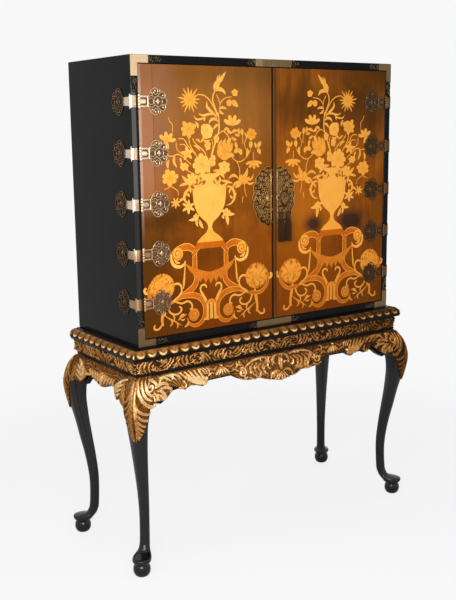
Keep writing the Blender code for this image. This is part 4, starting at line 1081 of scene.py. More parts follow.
def medallion(x, z, radius):
    """Flecked disc, a little lower than it is wide, on a scalloped rim."""
    rim, _, _ = bloom((x, z), (radius, radius), 22, 0.10)
    disc, _, share = bloom((x, z), (radius, radius * 0.93), 1, 0.0, rings=8)
    return [inlay(rim, 0.75, 0.1), inlay(disc, 0.5, 0.5 * share**6, fleck=np.minimum(1, 1.4 * share))]


def mirrored(*sheets):
    """The sheets, and after them their mirror images about the vase's line."""
    return [*sheets, *((about_vase(grid), marks) for grid, marks in sheets)]


def vase_of_flowers():
    """All sheets of one door's marquetry, in the order in which they lie over each other."""
    sheets = [strip(pairs(row), (width * 0.8, width, width * 0.7), tone) for tone, width, *row in STEMS]
    sheets += [leaf(pairs(row), width, tone) for tone, width, *row in LEAVES]
    sheets += [flower(*spec) for spec in FLOWERS]
    sheets += [fan(*spec) for spec in FANS]
    for tone, widths, *row in STAND_SCROLLS:
        sheets += mirrored(strip(pairs(row), widths, tone))
    for width, *row in STAND_SPRAYS:
        sheets += mirrored(leaf(pairs(row), width, SPRAY_TONE))
    sheets += mirrored(drape())
    sheets += [profile_sheet(BAND, 1.0), profile_sheet(BELL, 0.42), profile_sheet(DOME, 0.7)]
    tone, widths, *row = CENTRE_REED
    sheets += [strip(pairs(row), widths, tone), profile_sheet(VASE, 0.20)]
    for spec in VOLUTES:
        sheets += mirrored(*volute(*spec))
    return sheets + mirrored(*medallion(*MEDALLION))


class CABINET_OT_marquetry(Operator):
    """Inlay of both doors: an urn of flowers on a scrolled stand"""

    bl_idname = "cabinet.marquetry"
    bl_label = "Marquetry"

    def execute(self, context):
        finish = inlaid_wood(context.scene.cabinet_colours)
        proud = context.scene.cabinet_sizes.inlay_proud
        sheets = vase_of_flowers()
        for name, side in SIDES:
            patches = []
            for order, (grid, marks) in enumerate(sheets):
                out = proud * (0.25 + 0.75 * order / len(sheets))
                x = -side * grid[..., 0] * MM
                patches.append((np.dstack([x, np.full(x.shape, DOOR_FACE - out), grid[..., 1] * MM]), marks))
            laid = {"thick": INLAY_THICK, "towards": FORWARD, "smooth": False}
            piece(f"marquetry_{name}", patches, finish, f"{name}_door", "walnut_marquetry", **laid)
        return {"FINISHED"}


# Scrollwork of a hinge in millimetres from its axis: line points and width, upper half
ROSETTE_WIRES = (
    (((0, 8), (5, 20), (13, 32), (24, 38), (34, 34), (35, 25), (28, 20), (21, 24), (23, 30)), 3.3),
    (((4, 14), (14, 17), (24, 12), (33, 15), (42, 24), (52, 27), (60, 20), (59, 11), (51, 9), (47, 15)), 3.1),
    (((54, 12), (62, 9), (66, 0)), 3.0),
    (((2, 4), (9, 9), (16, 8), (20, 2)), 2.8),
    (((9, 22), (14, 26), (16, 20)), 2.8),
    (((36, 36), (42, 32), (41, 26)), 2.8),
)


def wire_grid(points, width, height, mirror=False, count=30):
    """Pierced-work wire over a plane, as across, up and out; the mirrored half is turned upside down."""
    points = np.asarray(points, float) * ([1, -1] if mirror else [1, 1])
    return bar(curve(points, count), swell(count, width * 0.8, width, width * 0.8), height)


def dome(centre, radii, height, petals=1, depth=0.0, power=0.5):
    """Raised boss: a flower outline whose height rises from nothing at the rim as a power of one less the
    squared share of its radius, round for a half and flat for one."""
    flat, _, share = bloom(centre, radii, petals, depth, rings=6)
    return np.dstack([flat, height * np.maximum(0, 1 - share**2) ** power])


def rosette(height):
    """Cartouche of scrolls in millimetres from its neck: both halves of the wires, a ring and a ridged
    boss."""
    grids = [wire_grid(*wire, height, mirror) for wire in ROSETTE_WIRES for mirror in (False, True)]
    grids.append(bar(spiral((35, 0), 14.5, 14.5, 1.02, 0.3, 40), np.full(40, 2.4), height))
    grids += [dome((x, way * z), (3.6, 3.6), height) for x, z in ((27, 30), (53, 17)) for way in (-1, 1)]
    return grids, dome((35, 0), (8.0, 9.5), height * 1.4, 4, 0.42)


def strap_section(half, thick, sides=20):
    """Cross-section of a strap: a superellipse of high power, its back on the plane."""
    turn = np.linspace(0, 2 * np.pi, sides + 1)
    c, s = np.cos(turn), np.sin(turn)
    up = half * np.sign(c) * np.abs(c) ** 0.25
    out = thick / 2 * (1 + np.sign(s) * np.abs(s) ** 0.25)
    return up, out


def strap(path, normals, halves, thick):
    """Strap: its section carried along a path in plan with the half height given at each point; the
    ends are closed by sections shrunk to their middle."""
    patches = []
    for along, normal, half, shrink in zip(path, normals, halves, [0] + [1] * (len(path) - 2) + [0]):
        up, out = strap_section(half, thick)
        out = thick / 2 + (out - thick / 2) * shrink
        plan = along + normal * out[:, None]
        patches.append(np.column_stack([plan, up * shrink]))
    return np.stack(patches)


def on_door(grid, way, x, level):
    """Work in millimetres across, up and out, laid on the doors' face at a place and turned to a side."""
    laid = np.dstack([way * grid[..., 0] * MM, -grid[..., 2] * MM, grid[..., 1] * MM])
    return laid + [x, DOOR_FACE - CLEAR, level]


def on_flank(grid, side, level):
    """Work in millimetres back from the doors' face, up and out, laid on a flank of the case."""
    laid = np.dstack([side * grid[..., 2] * MM, grid[..., 0] * MM, grid[..., 1] * MM])
    return laid + [side * (CASE_SIDE + CLEAR), DOOR_FACE, level]


# Where the rosettes begin on the door and on the flank, in millimetres; those on the flank are longer
DOOR_ROSETTE = np.array([30, 0, 0])
FLANK_ROSETTE = np.array([42, 0, 0])
FLANK_STRETCH = np.array([1.02, 1, 1])

# Strap of a case leaf in metres: thickness, half heights from the barrel on, and places along the flank
STRAP_THICK = 0.0016
STRAP_HALVES = (0.017, 0.017, 0.017, 0.017, 0.017, 0.0155, 0.013, 0.012, 0.014, 0.014)
STRAP_RUN = (0.004, 0.008, 0.012, 0.030, 0.043, 0.043)


def corner_strap(side, axis_x):
    """Strap of a case leaf: from the barrel over the stile, round the corner and along the flank."""
    face = DOOR_FACE - CLEAR
    flank = side * (CASE_SIDE + CLEAR)
    plan = [[axis_x + side * 0.002, face]] * 2
    plan += [[side * (CASE_SIDE - 0.001), face], [flank, DOOR_FACE + 0.001]]
    plan += [[flank, DOOR_FACE + run] for run in STRAP_RUN]
    normals = [[0, -1]] * 2 + [[side * 0.5, -0.9], [side * 0.9, -0.5]] + [[side, 0]] * len(STRAP_RUN)
    return strap(np.array(plan), np.array(normals), STRAP_HALVES, STRAP_THICK)


def barrel():
    """Radius and height of a barrel: five knuckles with grooves between them, and a pin head at each end."""
    outline = [(0.0, -0.0228), (0.0022, -0.0222), (0.0030, -0.0212)]
    for k in range(5):
        low = -0.0207 + 0.00832 * k
        outline += [(0.0036, low), (0.0042, low + 0.0006), (0.0042, low + 0.0076), (0.0036, low + 0.0082)]
    return outline + [(0.0030, 0.0212), (0.0022, 0.0222), (0.0, 0.0228)]


def level_bar(points, girth, count, height, sides):
    """Wire of one girth along a few points."""
    return bar(curve(points, count), np.full(count, girth), height, sides)


def door_neck(height):
    """Neck of a door leaf in millimetres from its axis: a tongue between two arms, and a post after them."""
    arms = [level_bar(((5, up), (16, up), (30, up)), 6.5, 12, height, 12) for up in (-14, 14)]
    girth = np.interp(np.linspace(0, 1, 24), (0, 0.6, 0.85, 1), (16, 16, 13, 3))
    tongue = bar(curve(((5, 0), (12, 0), (20, 0), (25, 0)), 24), girth, height, 12)
    return [*arms, tongue, level_bar(((31, -19), (31, 0), (31, 19)), 4.2, 16, height, 10)]


def hinge_levels():
    """Heights of the hinges' middles, from the lowest up."""
    boxes = [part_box(name) for name in named("door_leaf_left")]
    return sorted({round((low.z + high.z) / 2, 5) for low, high in boxes})


class CABINET_OT_hinges(Operator):
    """Strap hinges: plain straps, barrels, and pierced rosettes on the doors and the flanks"""

    bl_idname = "cabinet.hinges"
    bl_label = "Hinges"

    def execute(self, context):
        tones = context.scene.cabinet_colours
        tall = context.scene.cabinet_sizes.wire_height / MM
        bright = bpy.data.materials["brass_strap"]
        right_shade = tones.brass_right_shade
        darkened = brass("toned_brass", tones.bronze, tones.bronze_dull, tones.bronze_shadow, right_shade)
        # The flank scrollwork is a darker copy of the door's brass: painted shade
        flank_brass = brass("flank_scroll_brass", tones.flank_brass, tones.flank_brass_dull, tones.flank_brass_shadow, right_shade)
        wires, boss = rosette(tall)
        neck = door_neck(tall)
        # Dark sheets of painted shadow: behind the rosettes on doors and flanks, and in the slot of the door
        # leaf's neck
        ground = dome((33, 0), (31, 34), 0.35, 8, 0.13, 1.0)
        slot = dome((18, 0), (13, 11), 0.3, power=1.0)
        painted_shadow = (ground + DOOR_ROSETTE, slot)
        bead = level_bar(((3, -24), (3, 0), (3, 24)), 4.0, 16, tall * 1.2, 10)
        for name, side in SIDES:
            axis_x, axis_y, _ = HINGES[f"{name}_door_hinge"]
            door_straps, door_wires, case_straps, case_wires = [], [], [], []
            for level in hinge_levels():
                spot = (-side, axis_x, level)
                door_wires += [(on_door(grid + DOOR_ROSETTE, *spot), {}) for grid in wires]
                door_wires += [(on_door(grid, *spot), {"deep": 1.0}) for grid in painted_shadow]
                door_straps += [(on_door(grid, *spot), {}) for grid in (boss + DOOR_ROSETTE, *neck)]
                for grid in (*wires, boss, ground):
                    laid = on_flank(grid * FLANK_STRETCH + FLANK_ROSETTE, side, level)
                    case_wires.append((laid, {"deep": 0.8 * (grid is ground)}))
                case_straps.append((corner_strap(side, axis_x) + [0, 0, level], {}))
                case_straps.append((on_flank(bead, side, level), {}))
                case_straps.append((turned(barrel(), (axis_x, axis_y, level)), {}))
            leaves = (
                ("door", f"{name}_door", door_straps, door_wires, darkened),
                ("case", "cabinet", case_straps, case_wires, flank_brass),
            )
            for part, body, straps, scrolls, finish in leaves:
                replaced = [f"hinge_{part}_leaf_{name}_{k}" for k in range(1, 6)]
                piece(f"hinge_straps_{name}_{part}", straps, bright, body, "brass", replaced)
                piece(f"hinge_rosettes_{name}_{part}", scrolls, finish, body, "brass")
        return {"FINISHED"}


# Lock plate in millimetres: its edge from the meeting line, its reach past that and its half height
PLATE_EDGE = 9
PLATE_REACH = 78
PLATE_HALF = 97


def half_oval_filigree(height):
    """Half-oval lock plate in millimetres from the meeting line and its middle: a scalloped rim on a
    superellipse, and spirals of uneven size inside it, turning left and right by turns."""
    angle = np.linspace(-np.pi / 2, np.pi / 2, 90)
    rim = 1 - 0.055 * (0.5 - 0.5 * np.cos(18 * angle))
    reach = PLATE_REACH * rim * np.cos(angle) ** 0.8
    outline = np.stack([PLATE_EDGE + reach, PLATE_HALF * rim * np.sin(angle)], 1)
    grids = [bar(outline, np.full(90, 2.0), height)]
    across, up = np.meshgrid(np.arange(7), np.arange(-9, 10))
    chance = np.random.default_rng(11)
    x = 15.0 + 10.8 * across + 5.4 * (up % 2) + chance.uniform(-3, 3, across.shape)
    z = 10.2 * up + chance.uniform(-3, 3, across.shape)
    inside = np.abs((x - PLATE_EDGE) / PLATE_REACH) ** 2.5 + (z / PLATE_HALF) ** 2 < 0.80
    sizes = chance.uniform(4.8, 7.6, across.shape)
    for k, (column, level, size) in enumerate(zip(x[inside], z[inside], sizes[inside])):
        coil = spiral((0, 0), size, 1.4, 1.3, 2.1 * k, 26) * [1, 1 if k % 2 else -1] + [column, level]
        grids.append(bar(coil, swell(26, 1.2, 1.8, 1.2), height, 6))
    return grids, outline


class CABINET_OT_escutcheons(Operator):
    """Pierced lock plates on both sides of the meeting line"""

    bl_idname = "cabinet.escutcheons"
    bl_label = "Lock plates"

    def execute(self, context):
        tones = context.scene.cabinet_colours
        tall = context.scene.cabinet_sizes.wire_height / MM
        finish = brass("plate_brass", tones.plate, tones.plate_dull, tones.plate_shadow, tones.brass_right_shade)
        low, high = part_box("escutcheon_left")
        middle = (low.z + high.z) / 2
        share = np.linspace(0, 1, 4)[:, None, None]
        for name, side in SIDES:
            grids, outline = half_oval_filigree(tall)
            # A sheet of painted shadow behind the filigree
            sheet = np.dstack([[10, 0] + (outline - [10, 0]) * share, np.full((4, 90), 0.3)])
            grids.append(level_bar(((12.5, -85), (12.5, 0), (12.5, 85)), 2.4, 24, tall, 8))
            grids += [dome((17 if side > 0 else 24, -6), (7, 11), tall * 1.2), sheet]
            patches = [(on_door(grid, side, 0, middle), {"deep": float(grid is sheet)}) for grid in grids]
            piece(f"lock_plate_{name}", patches, finish, f"{name}_door", "brass", [f"escutcheon_{name}"])
        return {"FINISHED"}


def three_sides(reach, height, step):
    """Grids of a profile carried along the front and both flanks of the stand, mitred at the front
    corners. Reach and height are rows of the profile. Returns for each side its name, points, places along
    it and outward direction."""
    share = np.linspace(-1, 1, int(HALF_W / step))[:, None]
    up = np.broadcast_to(height, (len(share), len(height)))
    front = np.dstack([share * (HALF_W + reach), np.broadcast_to(-HALF_D - reach, up.shape), up])
    sides = [("front", front, np.broadcast_to(share * HALF_W, up.shape), FORWARD)]
    share = np.linspace(0, 1, int(HALF_D / step))[:, None]
    up = np.broadcast_to(height, (len(share), len(height)))
    for name, side in SIDES:
        along = -(HALF_D + reach) * (1 - share) + HALF_D * share
        flank = np.dstack([np.broadcast_to(side * (HALF_W + reach), up.shape), along, up])
        sides.append((name, flank, along, np.array([side, 0.0, 0.0])))
    return sides


def tucked(grid, outward, depth):
    """The grid with its border rows and columns pushed inwards, so that no open edge shows."""
    grid = grid.copy()
    for edge in (grid[0], grid[-1], grid[:, 0], grid[:, -1]):
        edge -= outward * depth
    return grid


# Profile of the gadroon in metres: its foot above the tray's foot, its top below the tray's top, and how far
# it stands back from the tray's edge at the foot and falls back above it
GADROON_FOOT = 0.0095
GADROON_TOP = 0.0050
GADROON_BACK = 0.0010
GADROON_FALL = 0.0210

# How far the border of a carved skin is tucked in, and the skin's thickness
TUCK = 0.004
SKIN = 0.002


class CABINET_OT_gadroon(Operator):
    """Hanging lobes along the outer moulding of the tray"""

    bl_idname = "cabinet.gadroon"
    bl_label = "Gadrooned tray"

    def execute(self, context):
        sizes = context.scene.cabinet_sizes
        gilding(context.scene.cabinet_colours)
        share = np.linspace(0, 1, 20)
        turn = share * math.pi / 2
        low = TRAY_BOX[0].z + GADROON_FOOT
        reach = -GADROON_BACK - GADROON_FALL * (1 - np.cos(turn))
        height = low + (TRAY_BOX[1].z - GADROON_TOP - low) * np.sin(turn)
        for side, grid, along, outward in three_sides(reach, height, sizes.carving_step / 2.2):
            across = 2 * ((along / sizes.gadroon_pitch + 0.16 * share) % 1.0) - 1
            inside = share - 0.48 * across**2
            body = np.sqrt(np.clip(inside / 0.5, 0, 1)) * np.clip((1.04 - share) / 0.3, 0, 1)
            lip = np.exp(-(((inside - 0.13) / 0.15) ** 2)) * np.clip(1.15 - 1.5 * across**2, 0, 1)
            # Painted highlight high on each lobe: bright gilding with no swelling under it
            curl = np.exp(-(((share - 0.72) / 0.10) ** 2)) * np.exp(-(((across + 0.15) / 0.35) ** 2))
            normal = outward * np.cos(turn)[:, None] + np.array([0, 0, 1.0]) * np.sin(turn)[:, None]
            raised = grid + normal * (sizes.gadroon_depth * (0.8 * body + 0.3 * lip))[..., None]
            marks = {"relief": np.clip(np.maximum(0.45 * body, np.maximum(lip, 0.8 * curl)), 0, 1)}
            towards = outward + np.array([0.0, 0.0, 0.5])
            carving(f"gadroon_{side}", tucked(raised, outward, TUCK), marks, SKIN, towards)
        return {"FINISHED"}


def running_scroll(length, tall):
    """Strokes of a running scroll in millimetres, symmetric about the middle of its length: S-shaped
    leaves with two ridges round a hook, each second group upside down, and small curls strewn over them."""
    unit = 140.0
    strokes = []
    for k in range(int(length / 2 / unit) + 1):
        scale = np.array([1.0, tall / 2 * (-1) ** k])
        start = np.array([unit * k, tall / 2])
        leaves = [stroke(start + np.array(points) * scale, *spec) for points, *spec in SCROLL_LEAVES]
        strokes += both_ways(leaves)
    for path, *spec in small_curls(int(length / 12), length / 2, tall - 2, 3):
        strokes.append((path + [0.0, tall + 1], *spec))
    return strokes


# Leaves of one group: places along in millimetres and up in half heights, width, height, ridges
SCROLL_LEAVES = (
    (((0, -0.9), (10, -0.1), (30, 0.7), (58, 0.88), (80, 0.45), (80, -0.15), (66, -0.35)), 9, 1.0, 2),
    (((14, -0.9), (19, -0.3), (33, 0.3), (46, 0.45)), 8, 0.95, 2),
    (((50, 0.62), (64, 0.5), (67, 0.05)), 7, 0.9, 1),
    (((30, -0.95), (36, -0.35), (48, 0.1), (61, 0.3)), 8, 0.95, 2),
    (((46, -0.9), (56, -0.55), (68, -0.85)), 7, 0.9, 1),
    (((6, 0.95), (2, 0.5), (10, 0.15)), 7, 0.9, 1),
    (((22, 0.25), (31, -0.2), (27, -0.7)), 7, 0.9, 1),
    (((92, 0.95), (97, 0.3), (92, -0.4), (80, -0.85)), 9, 1.0, 2),
    (((106, 0.9), (113, 0.2), (107, -0.5), (94, -0.95)), 9, 0.95, 2),
    (((120, 0.6), (127, 0.0), (120, -0.6), (108, -0.95)), 9, 1.0, 2),
    (((110, 0.95), (124, 0.85), (136, 0.3)), 8, 0.95, 2),
    (((132, 0.1), (138, -0.4), (130, -0.9)), 7, 0.9, 1),
)


def leaning_flutes(across, up, tall, wave=190.0, pitch=7.5):
    """Ground of the frieze: flutes whose lean swings to and fro as a cosine along the length."""
    lean = 1.5 * np.cos(2 * np.pi * np.abs(across) / wave)
    return 0.20 * np.abs(np.sin(np.pi * (np.abs(across) + lean * (up - tall / 2)) / pitch)) ** 0.8


def fan_flutes(across, up, foci, count):
    """Ground of an apron: flutes that fan out from the nearest focus, bending as they go."""
    away = np.stack([np.hypot(np.abs(across) - x, up - z) for x, z in foci])
    angle = np.stack([np.arctan2(up - z, np.abs(across) - x) for x, z in foci])
    pick = away.argmin(0)[None]
    bend = np.take_along_axis(angle, pick, 0)[0] + np.take_along_axis(away, pick, 0)[0] / 70
    return 0.42 * np.abs(np.sin(count / 2 * bend)) ** 0.7


class CABINET_OT_frieze(Operator):
    """Running acanthus scroll on the frieze, between black lines"""

    bl_idname = "cabinet.frieze"
    bl_label = "Carved frieze"

    def execute(self, context):
        sizes = context.scene.cabinet_sizes
        low = FRIEZE_BOX[0].z + 0.0085
        tall = FRIEZE_BOX[1].z - low - 0.0005
        share = np.linspace(0, 1, 30)
        reach = FRIEZE_BOX[1].x - HALF_W - 0.004 * (1 - share)
        border = np.minimum(1, np.minimum(share, 1 - share) * 14)
        sides = three_sides(reach, low + tall * share, sizes.carving_step / 2)
        for side, grid, along, outward in sides:
            length = 2000 * (HALF_W if side == "front" else HALF_D)
            up = np.broadcast_to(share * tall / MM, along.shape)
            ground = leaning_flutes(along / MM, up, tall / MM)
            height = np.maximum(relief(along / MM, up, running_scroll(length, tall / MM)), ground)
            raised = grid + outward * (CLEAR + sizes.frieze_depth * height * border)[..., None]
            marks = {"relief": np.clip(0.88 * height**1.7 * border, 0, 1)}
            carving(f"frieze_carving_{side}", tucked(raised, outward, TUCK), marks, SKIN, outward)
        return {"FINISHED"}


# Carving of the front apron's right half in millimetres from its middle and down from its top.
# Single leaves: points, width, height, ridges
APRON_LEAVES = (
    (((4, -6), (22, -10), (34, -24), (33, -42)), 10, 0.95, 2),
    (((6, -62), (24, -58), (40, -66), (46, -82)), 10, 0.95, 2),
    (((36, -12), (64, -7), (102, -9), (132, -19), (150, -33)), 11, 1.0, 2),
    (((34, -90), (60, -82), (92, -79), (122, -68), (146, -58)), 10, 0.95, 2),
    (((44, -24), (54, -33), (50, -46), (40, -44)), 8, 0.95, 1),
    (((140, -58), (158, -67), (176, -56)), 11, 0.95, 2),
    (((150, -22), (168, -16), (182, -24)), 9, 0.9, 2),
    (((178, -32), (188, -26), (202, -32)), 8, 0.85, 1),
    (((186, -10), (204, -16), (220, -8)), 9, 0.85, 2),
    (((252, -8), (268, -16), (286, -8)), 9, 0.85, 2),
    (((262, -30), (276, -24), (290, -32)), 8, 0.85, 1),
    (((206, -32), (216, -24), (222, -14)), 8, 0.85, 1),
    (((384, -30), (376, -44), (382, -54)), 9, 0.9, 1),
    (((512, -8), (494, -12), (484, -24), (492, -34)), 13, 1.0, 2),
    (((440, -58), (428, -50), (416, -52)), 9, 0.9, 1),
)

# Rows of leaves: points of one leaf, their steps to the next, ranks, width, height, ridges, count, end
APRON_ROWS = (
    (((0, -64), (0, -78), (0, -92)), ((5, 0), (10, 0), (16, 2)), range(3), 9, 0.9, 1, 12, 0.6),
    (((58, -20), (74, -34), (70, -54), (50, -68)),
     ((18, 0), (17, 0), (15, 0), (14, 0)), range(4), 10, 0.85, 2),
    (((236, -12), (236, -24), (236, -35)), ((4, 0), (8, 0), (13, 0)), range(-2, 3), 8, 0.95, 1, 12, 0.4),
    (((392, -5), (372, -24), (346, -42), (312, -57)),
     ((-17, 0), (-15, -1), (-11, 0), (-4, 0)), range(5), 12, 1.0, 2),
    (((318, -4), (306, -14), (300, -26)), ((-12, 0), (-10, 0), (-8, 0)), range(3), 9, 0.9, 1),
    (((470, -4), (446, -12), (424, -27)), ((-24, 0), (-22, 0), (-18, 0)), range(3), 10, 0.95, 2),
)

# Leaves that spring from the leg: lean in degrees and length, and the shape of one along and beside its lean
LEG_LEAVES = ((-24, 1.2), (-5, 0.8), (14, 1.15), (35, 0.8), (54, 1.1), (76, 0.75), (96, 1.0))
LEG_LEAF = ((20, 4), (38, -3), (58, 0), (69, 10), (61, 19))
LEG_ROOT = np.array([499, -30])

# Rows of leaves on the right half of a flank apron
FLANK_ROWS = (
    (((168, -6), (136, -18), (110, -34), (90, -42)),
     ((-6, -15), (-4, -15), (0, -10), (6, -6)), range(4), 13, 1.0, 2),
    (((82, -26), (74, -40), (70, -56)), ((-17, 0), (-16, 0), (-17, 0)), range(5), 12, 0.95, 2),
)


def row_of_leaves(first, steps, ranks, *spec):
    """Leaves in a row: each point of the first leaf moves by its own step from rank to rank."""
    return [stroke(np.array(first) + k * np.array(steps), *spec) for k in ranks]


def coil(x, z):
    """Small carved coil."""
    return spiral((x, z), 9, 2, 1.3, 2.2, 30), swell(30, 5, 6.5, 4), 0.95, 1


def front_apron_strokes():
    """Carving of the front apron: a ribbed shell between curls with flutes below, long leaves out to a
    coil, a small fan on the straight stretch, a falling leaf, an ear, and the leaves that spring from the
    leg."""
    half = [stroke(*spec) for spec in APRON_LEAVES]
    for spec in APRON_ROWS:
        half += row_of_leaves(*spec)
    half.append((spiral((158, -42), 16, 3, 1.5, 1.2, 40), swell(40, 6.5, 8, 5), 1.0, 1))
    half += [knob(236, -7, 10), knob(298, -36, 15), coil(396, -53)]
    for lean, long in LEG_LEAVES:
        ahead = long * np.array([-math.cos(math.radians(lean)), -math.sin(math.radians(lean))])
        beside = np.array([-ahead[1], ahead[0]])
        half.append(stroke([LEG_ROOT + a * ahead + b * beside for a, b in LEG_LEAF], 13, 1.0, 2))
    shell = stroke([(0, -14), (0, -34), (0, -54)], 20, 0.85, 2, 20, 0.5)
    return [shell, *both_ways(half), *small_curls(46, 176, 92, 5)]


def small_curls(count, reach, deep, seed):
    """Short hooked strokes strewn over the carving: arcs of half a turn at even chance of place and turn."""
    chance = np.random.default_rng(seed)
    turn = np.linspace(0, np.pi * 1.15, 6)
    ranges = ((-reach, reach), (-deep, -6), (0, 6.28), (5, 10))
    curls = []
    for x, z, start, size in zip(*(chance.uniform(*ends, count) for ends in ranges)):
        grown = size * np.linspace(1.1, 0.6, 6)
        hook = np.stack([x + grown * np.cos(start + turn), z + grown * np.sin(start + turn)], 1)
        curls.append(stroke(hook, 6, 1.0, 1, 16))
    return curls


def side_apron_strokes():
    """Carving of a flank apron: leaves that spring from the legs, a scalloped spray along the lower edge
    and a leaf in the middle, below a nearly plain ground."""
    half = [coil(92, -48), knob(132, -22, 13)]
    for spec in FLANK_ROWS:
        half += row_of_leaves(*spec)
    half.append(stroke([(10, -24), (34, -18), (62, -22)], 7, 0.6, 1))
    half.append(stroke([(60, -20), (86, -14), (112, -18)], 7, 0.6, 1))
    return [stroke([(0, -22), (0, -44), (0, -64)], 16, 1.0, 2), *both_ways(half)]


# Points in millimetres from which the flutes of the ground fan out
FRONT_FOCI = ((0, -30), (80, -2), (150, -70), (236, -4), (330, 4), (400, -70), (500, 4))
SIDE_FOCI = ((0, 4), (60, -70), (152, 4))


def lower_edge(node, axis):
    """Place along and depth of an apron's lower edge, read from the solid's columns."""
    places = solid_points(node)
    along, index = np.unique(np.round(places[:, axis], 4), return_inverse=True)
    lowest = np.full(len(along), np.inf)
    np.minimum.at(lowest, index.ravel(), places[:, 2])
    return along, APRON_TOP - lowest


# Width of the black line left under the carving: places from the middle of the front apron and widths there,
# and for a flank apron places from its end
FRONT_LINE = (
    (0.0, 0.170, 0.185, 0.283, 0.294, 0.398, 0.416, 0.520),
    (0.001, 0.001, 0.005, 0.005, 0.001, 0.001, 0.013, 0.013),
)
FLANK_LINE = ((-0.085, -0.070), (0.0015, 0.012))

# Apron in metres: how far the skin runs past its ends, its top's set-back from the tray, the swell of its
# quarter-sine profile, its set-back at the lower edge, and the length over which it eases out to the knee
APRON_PAST = 0.014
APRON_BACK = 0.019
APRON_SWELL = 0.018
APRON_UNDER = 0.003
KNEE_EASE = 0.085


def apron_skin(node, axis, way, strokes, foci, sizes):
    """Carved skin of an apron and its relief: columns from the top to the lower edge, swelling as a quarter
    sine, eased out to the leg's outline at both ends, and turned in under the edge."""
    places, depths = lower_edge(node, axis)
    half = places[-1]
    past = half + APRON_PAST
    along = np.linspace(-past, past, int(2 * past / sizes.carving_step))[:, None]
    share = np.linspace(0, 1, 46)
    if axis == 0:
        black = np.interp(np.abs(along), *FRONT_LINE)
    else:
        black = np.interp(np.abs(along) - half, *FLANK_LINE)
    drop = (np.interp(along, places, depths) - black) * share
    across = np.broadcast_to(along, drop.shape)
    ground = fan_flutes(across / MM, -drop / MM, foci, 26)
    height = np.maximum(relief(across / MM, -drop / MM, strokes), ground) * np.minimum(1, 0.25 + share * 8)
    base = (HALF_D if axis == 0 else HALF_W) - APRON_BACK
    base = base + APRON_SWELL * np.sin(np.pi / 2 * drop / depths.max())
    rings, _ = leg_rings("leg_front_right")
    outline = rings.max(1)[:, 0] if axis == 1 else -rings.min(1)[:, 1]
    knee = np.interp(APRON_TOP - drop, rings[:, 0, 2], outline) - 0.001
    near = np.clip((np.abs(along) - half + KNEE_EASE) / KNEE_EASE, 0, 1)
    near = near * near * (3 - 2 * near)
    out = np.maximum(base, base * (1 - near) + knee * near) + CLEAR
    grid = np.empty((*drop.shape, 3))
    grid[..., axis] = across
    grid[..., 1 - axis] = (out + sizes.apron_depth * height * (1 - 0.4 * near)) * way
    grid[..., 2] = APRON_TOP - drop
    under = grid[:, -1:].copy()
    under[..., 1 - axis] = (base[:, -1:] - APRON_UNDER) * way
    worn = np.concatenate([height, np.zeros_like(height[:, :1])], 1) * 1.02
    return np.concatenate([grid, under], 1), {"relief": np.clip(worn, 0, 1)}


class CABINET_OT_aprons(Operator):
    """Acanthus carving over the front and flank aprons"""

    bl_idname = "cabinet.aprons"
    bl_label = "Carved aprons"

    def execute(self, context):
        jobs = (
            ("front", 0, -1.0, front_apron_strokes(), FRONT_FOCI),
            ("left", 1, -1.0, side_apron_strokes(), SIDE_FOCI),
            ("right", 1, 1.0, side_apron_strokes(), SIDE_FOCI),
        )
        for name, axis, way, strokes, foci in jobs:
            skin = apron_skin(f"apron_{name}", axis, way, strokes, foci, context.scene.cabinet_sizes)
            outward = np.zeros(3)
            outward[1 - axis] = way
            carving(f"apron_carving_{name}", *skin, SKIN, outward)
        return {"FINISHED"}


# Rays through each ring of a leg, and the step in height that parts two rings
RAYS = 64
RING_GAP = 2e-5


def leg_rings(node):
    """Rings of a leg's solid from the floor up, read where rays at 64 even angles from the middle of each
    ring cross its sides, then eased round the ring. The outer arris lies in the centre of the row."""
    places = solid_points(node)
    places = places[np.argsort(places[:, 2])]
    outward = np.sign(places[:, :2].mean(0)) / math.sqrt(2)
    across = np.array([-outward[1], outward[0]])
    rays = np.linspace(-math.pi, math.pi, RAYS + 1)[:-1]
    way = np.stack([np.cos(rays), np.sin(rays)], 1)
    rings = []
    for ring in np.split(places, np.flatnonzero(np.diff(places[:, 2]) > RING_GAP) + 1):
        far, near = ring[:, :2].max(0), ring[:, :2].min(0)
        middle = (far + near) / 2
        if len(np.unique(np.round(ring, 5), axis=0)) < 16:
            ring = np.array([[x, y, ring[0, 2]] for x in (near[0], far[0]) for y in (near[1], far[1])])
        flat = np.unique(np.round((ring[:, :2] - middle) @ np.stack([outward, across], 1), 6), axis=0)
        flat = flat[np.argsort(np.arctan2(flat[:, 1], flat[:, 0]))]
        flat = np.concatenate([flat[-1:], flat, flat[:1]])
        angle = np.unwrap(np.arctan2(flat[:, 1], flat[:, 0]))
        angle -= 2 * math.pi * np.round(angle[1:-1].mean() / (2 * math.pi))
        after = np.clip(np.searchsorted(angle, rays), 1, len(angle) - 1)
        first, second = flat[after - 1], flat[after]
        one = first[:, 0] * way[:, 1] - first[:, 1] * way[:, 0]
        two = second[:, 0] * way[:, 1] - second[:, 1] * way[:, 0]
        share = np.clip(one / np.where(np.abs(one - two) < 1e-12, 1e-12, one - two), 0, 1)[:, None]
        radius = np.linalg.norm(first + (second - first) * share, axis=1)
        radius = 0.5 * radius + 0.25 * (np.roll(radius, 1) + np.roll(radius, -1))
        spot = middle + radius[:, None] * (way @ np.stack([outward, across]))
        rings.append(np.column_stack([spot, np.full(RAYS, ring[:, 2].mean())]))
    return np.stack(rings), outward


def around_ring(rows, columns):
    """Rows of ring points read at fractional columns by the cubic, closed on itself."""
    base = np.floor(columns).astype(int)
    near = (((base + k) % rows.shape[1])[..., None] for k in (-1, 0, 1, 2))
    return cubic(*(np.take_along_axis(rows, index, 1) for index in near), (columns - base)[..., None])


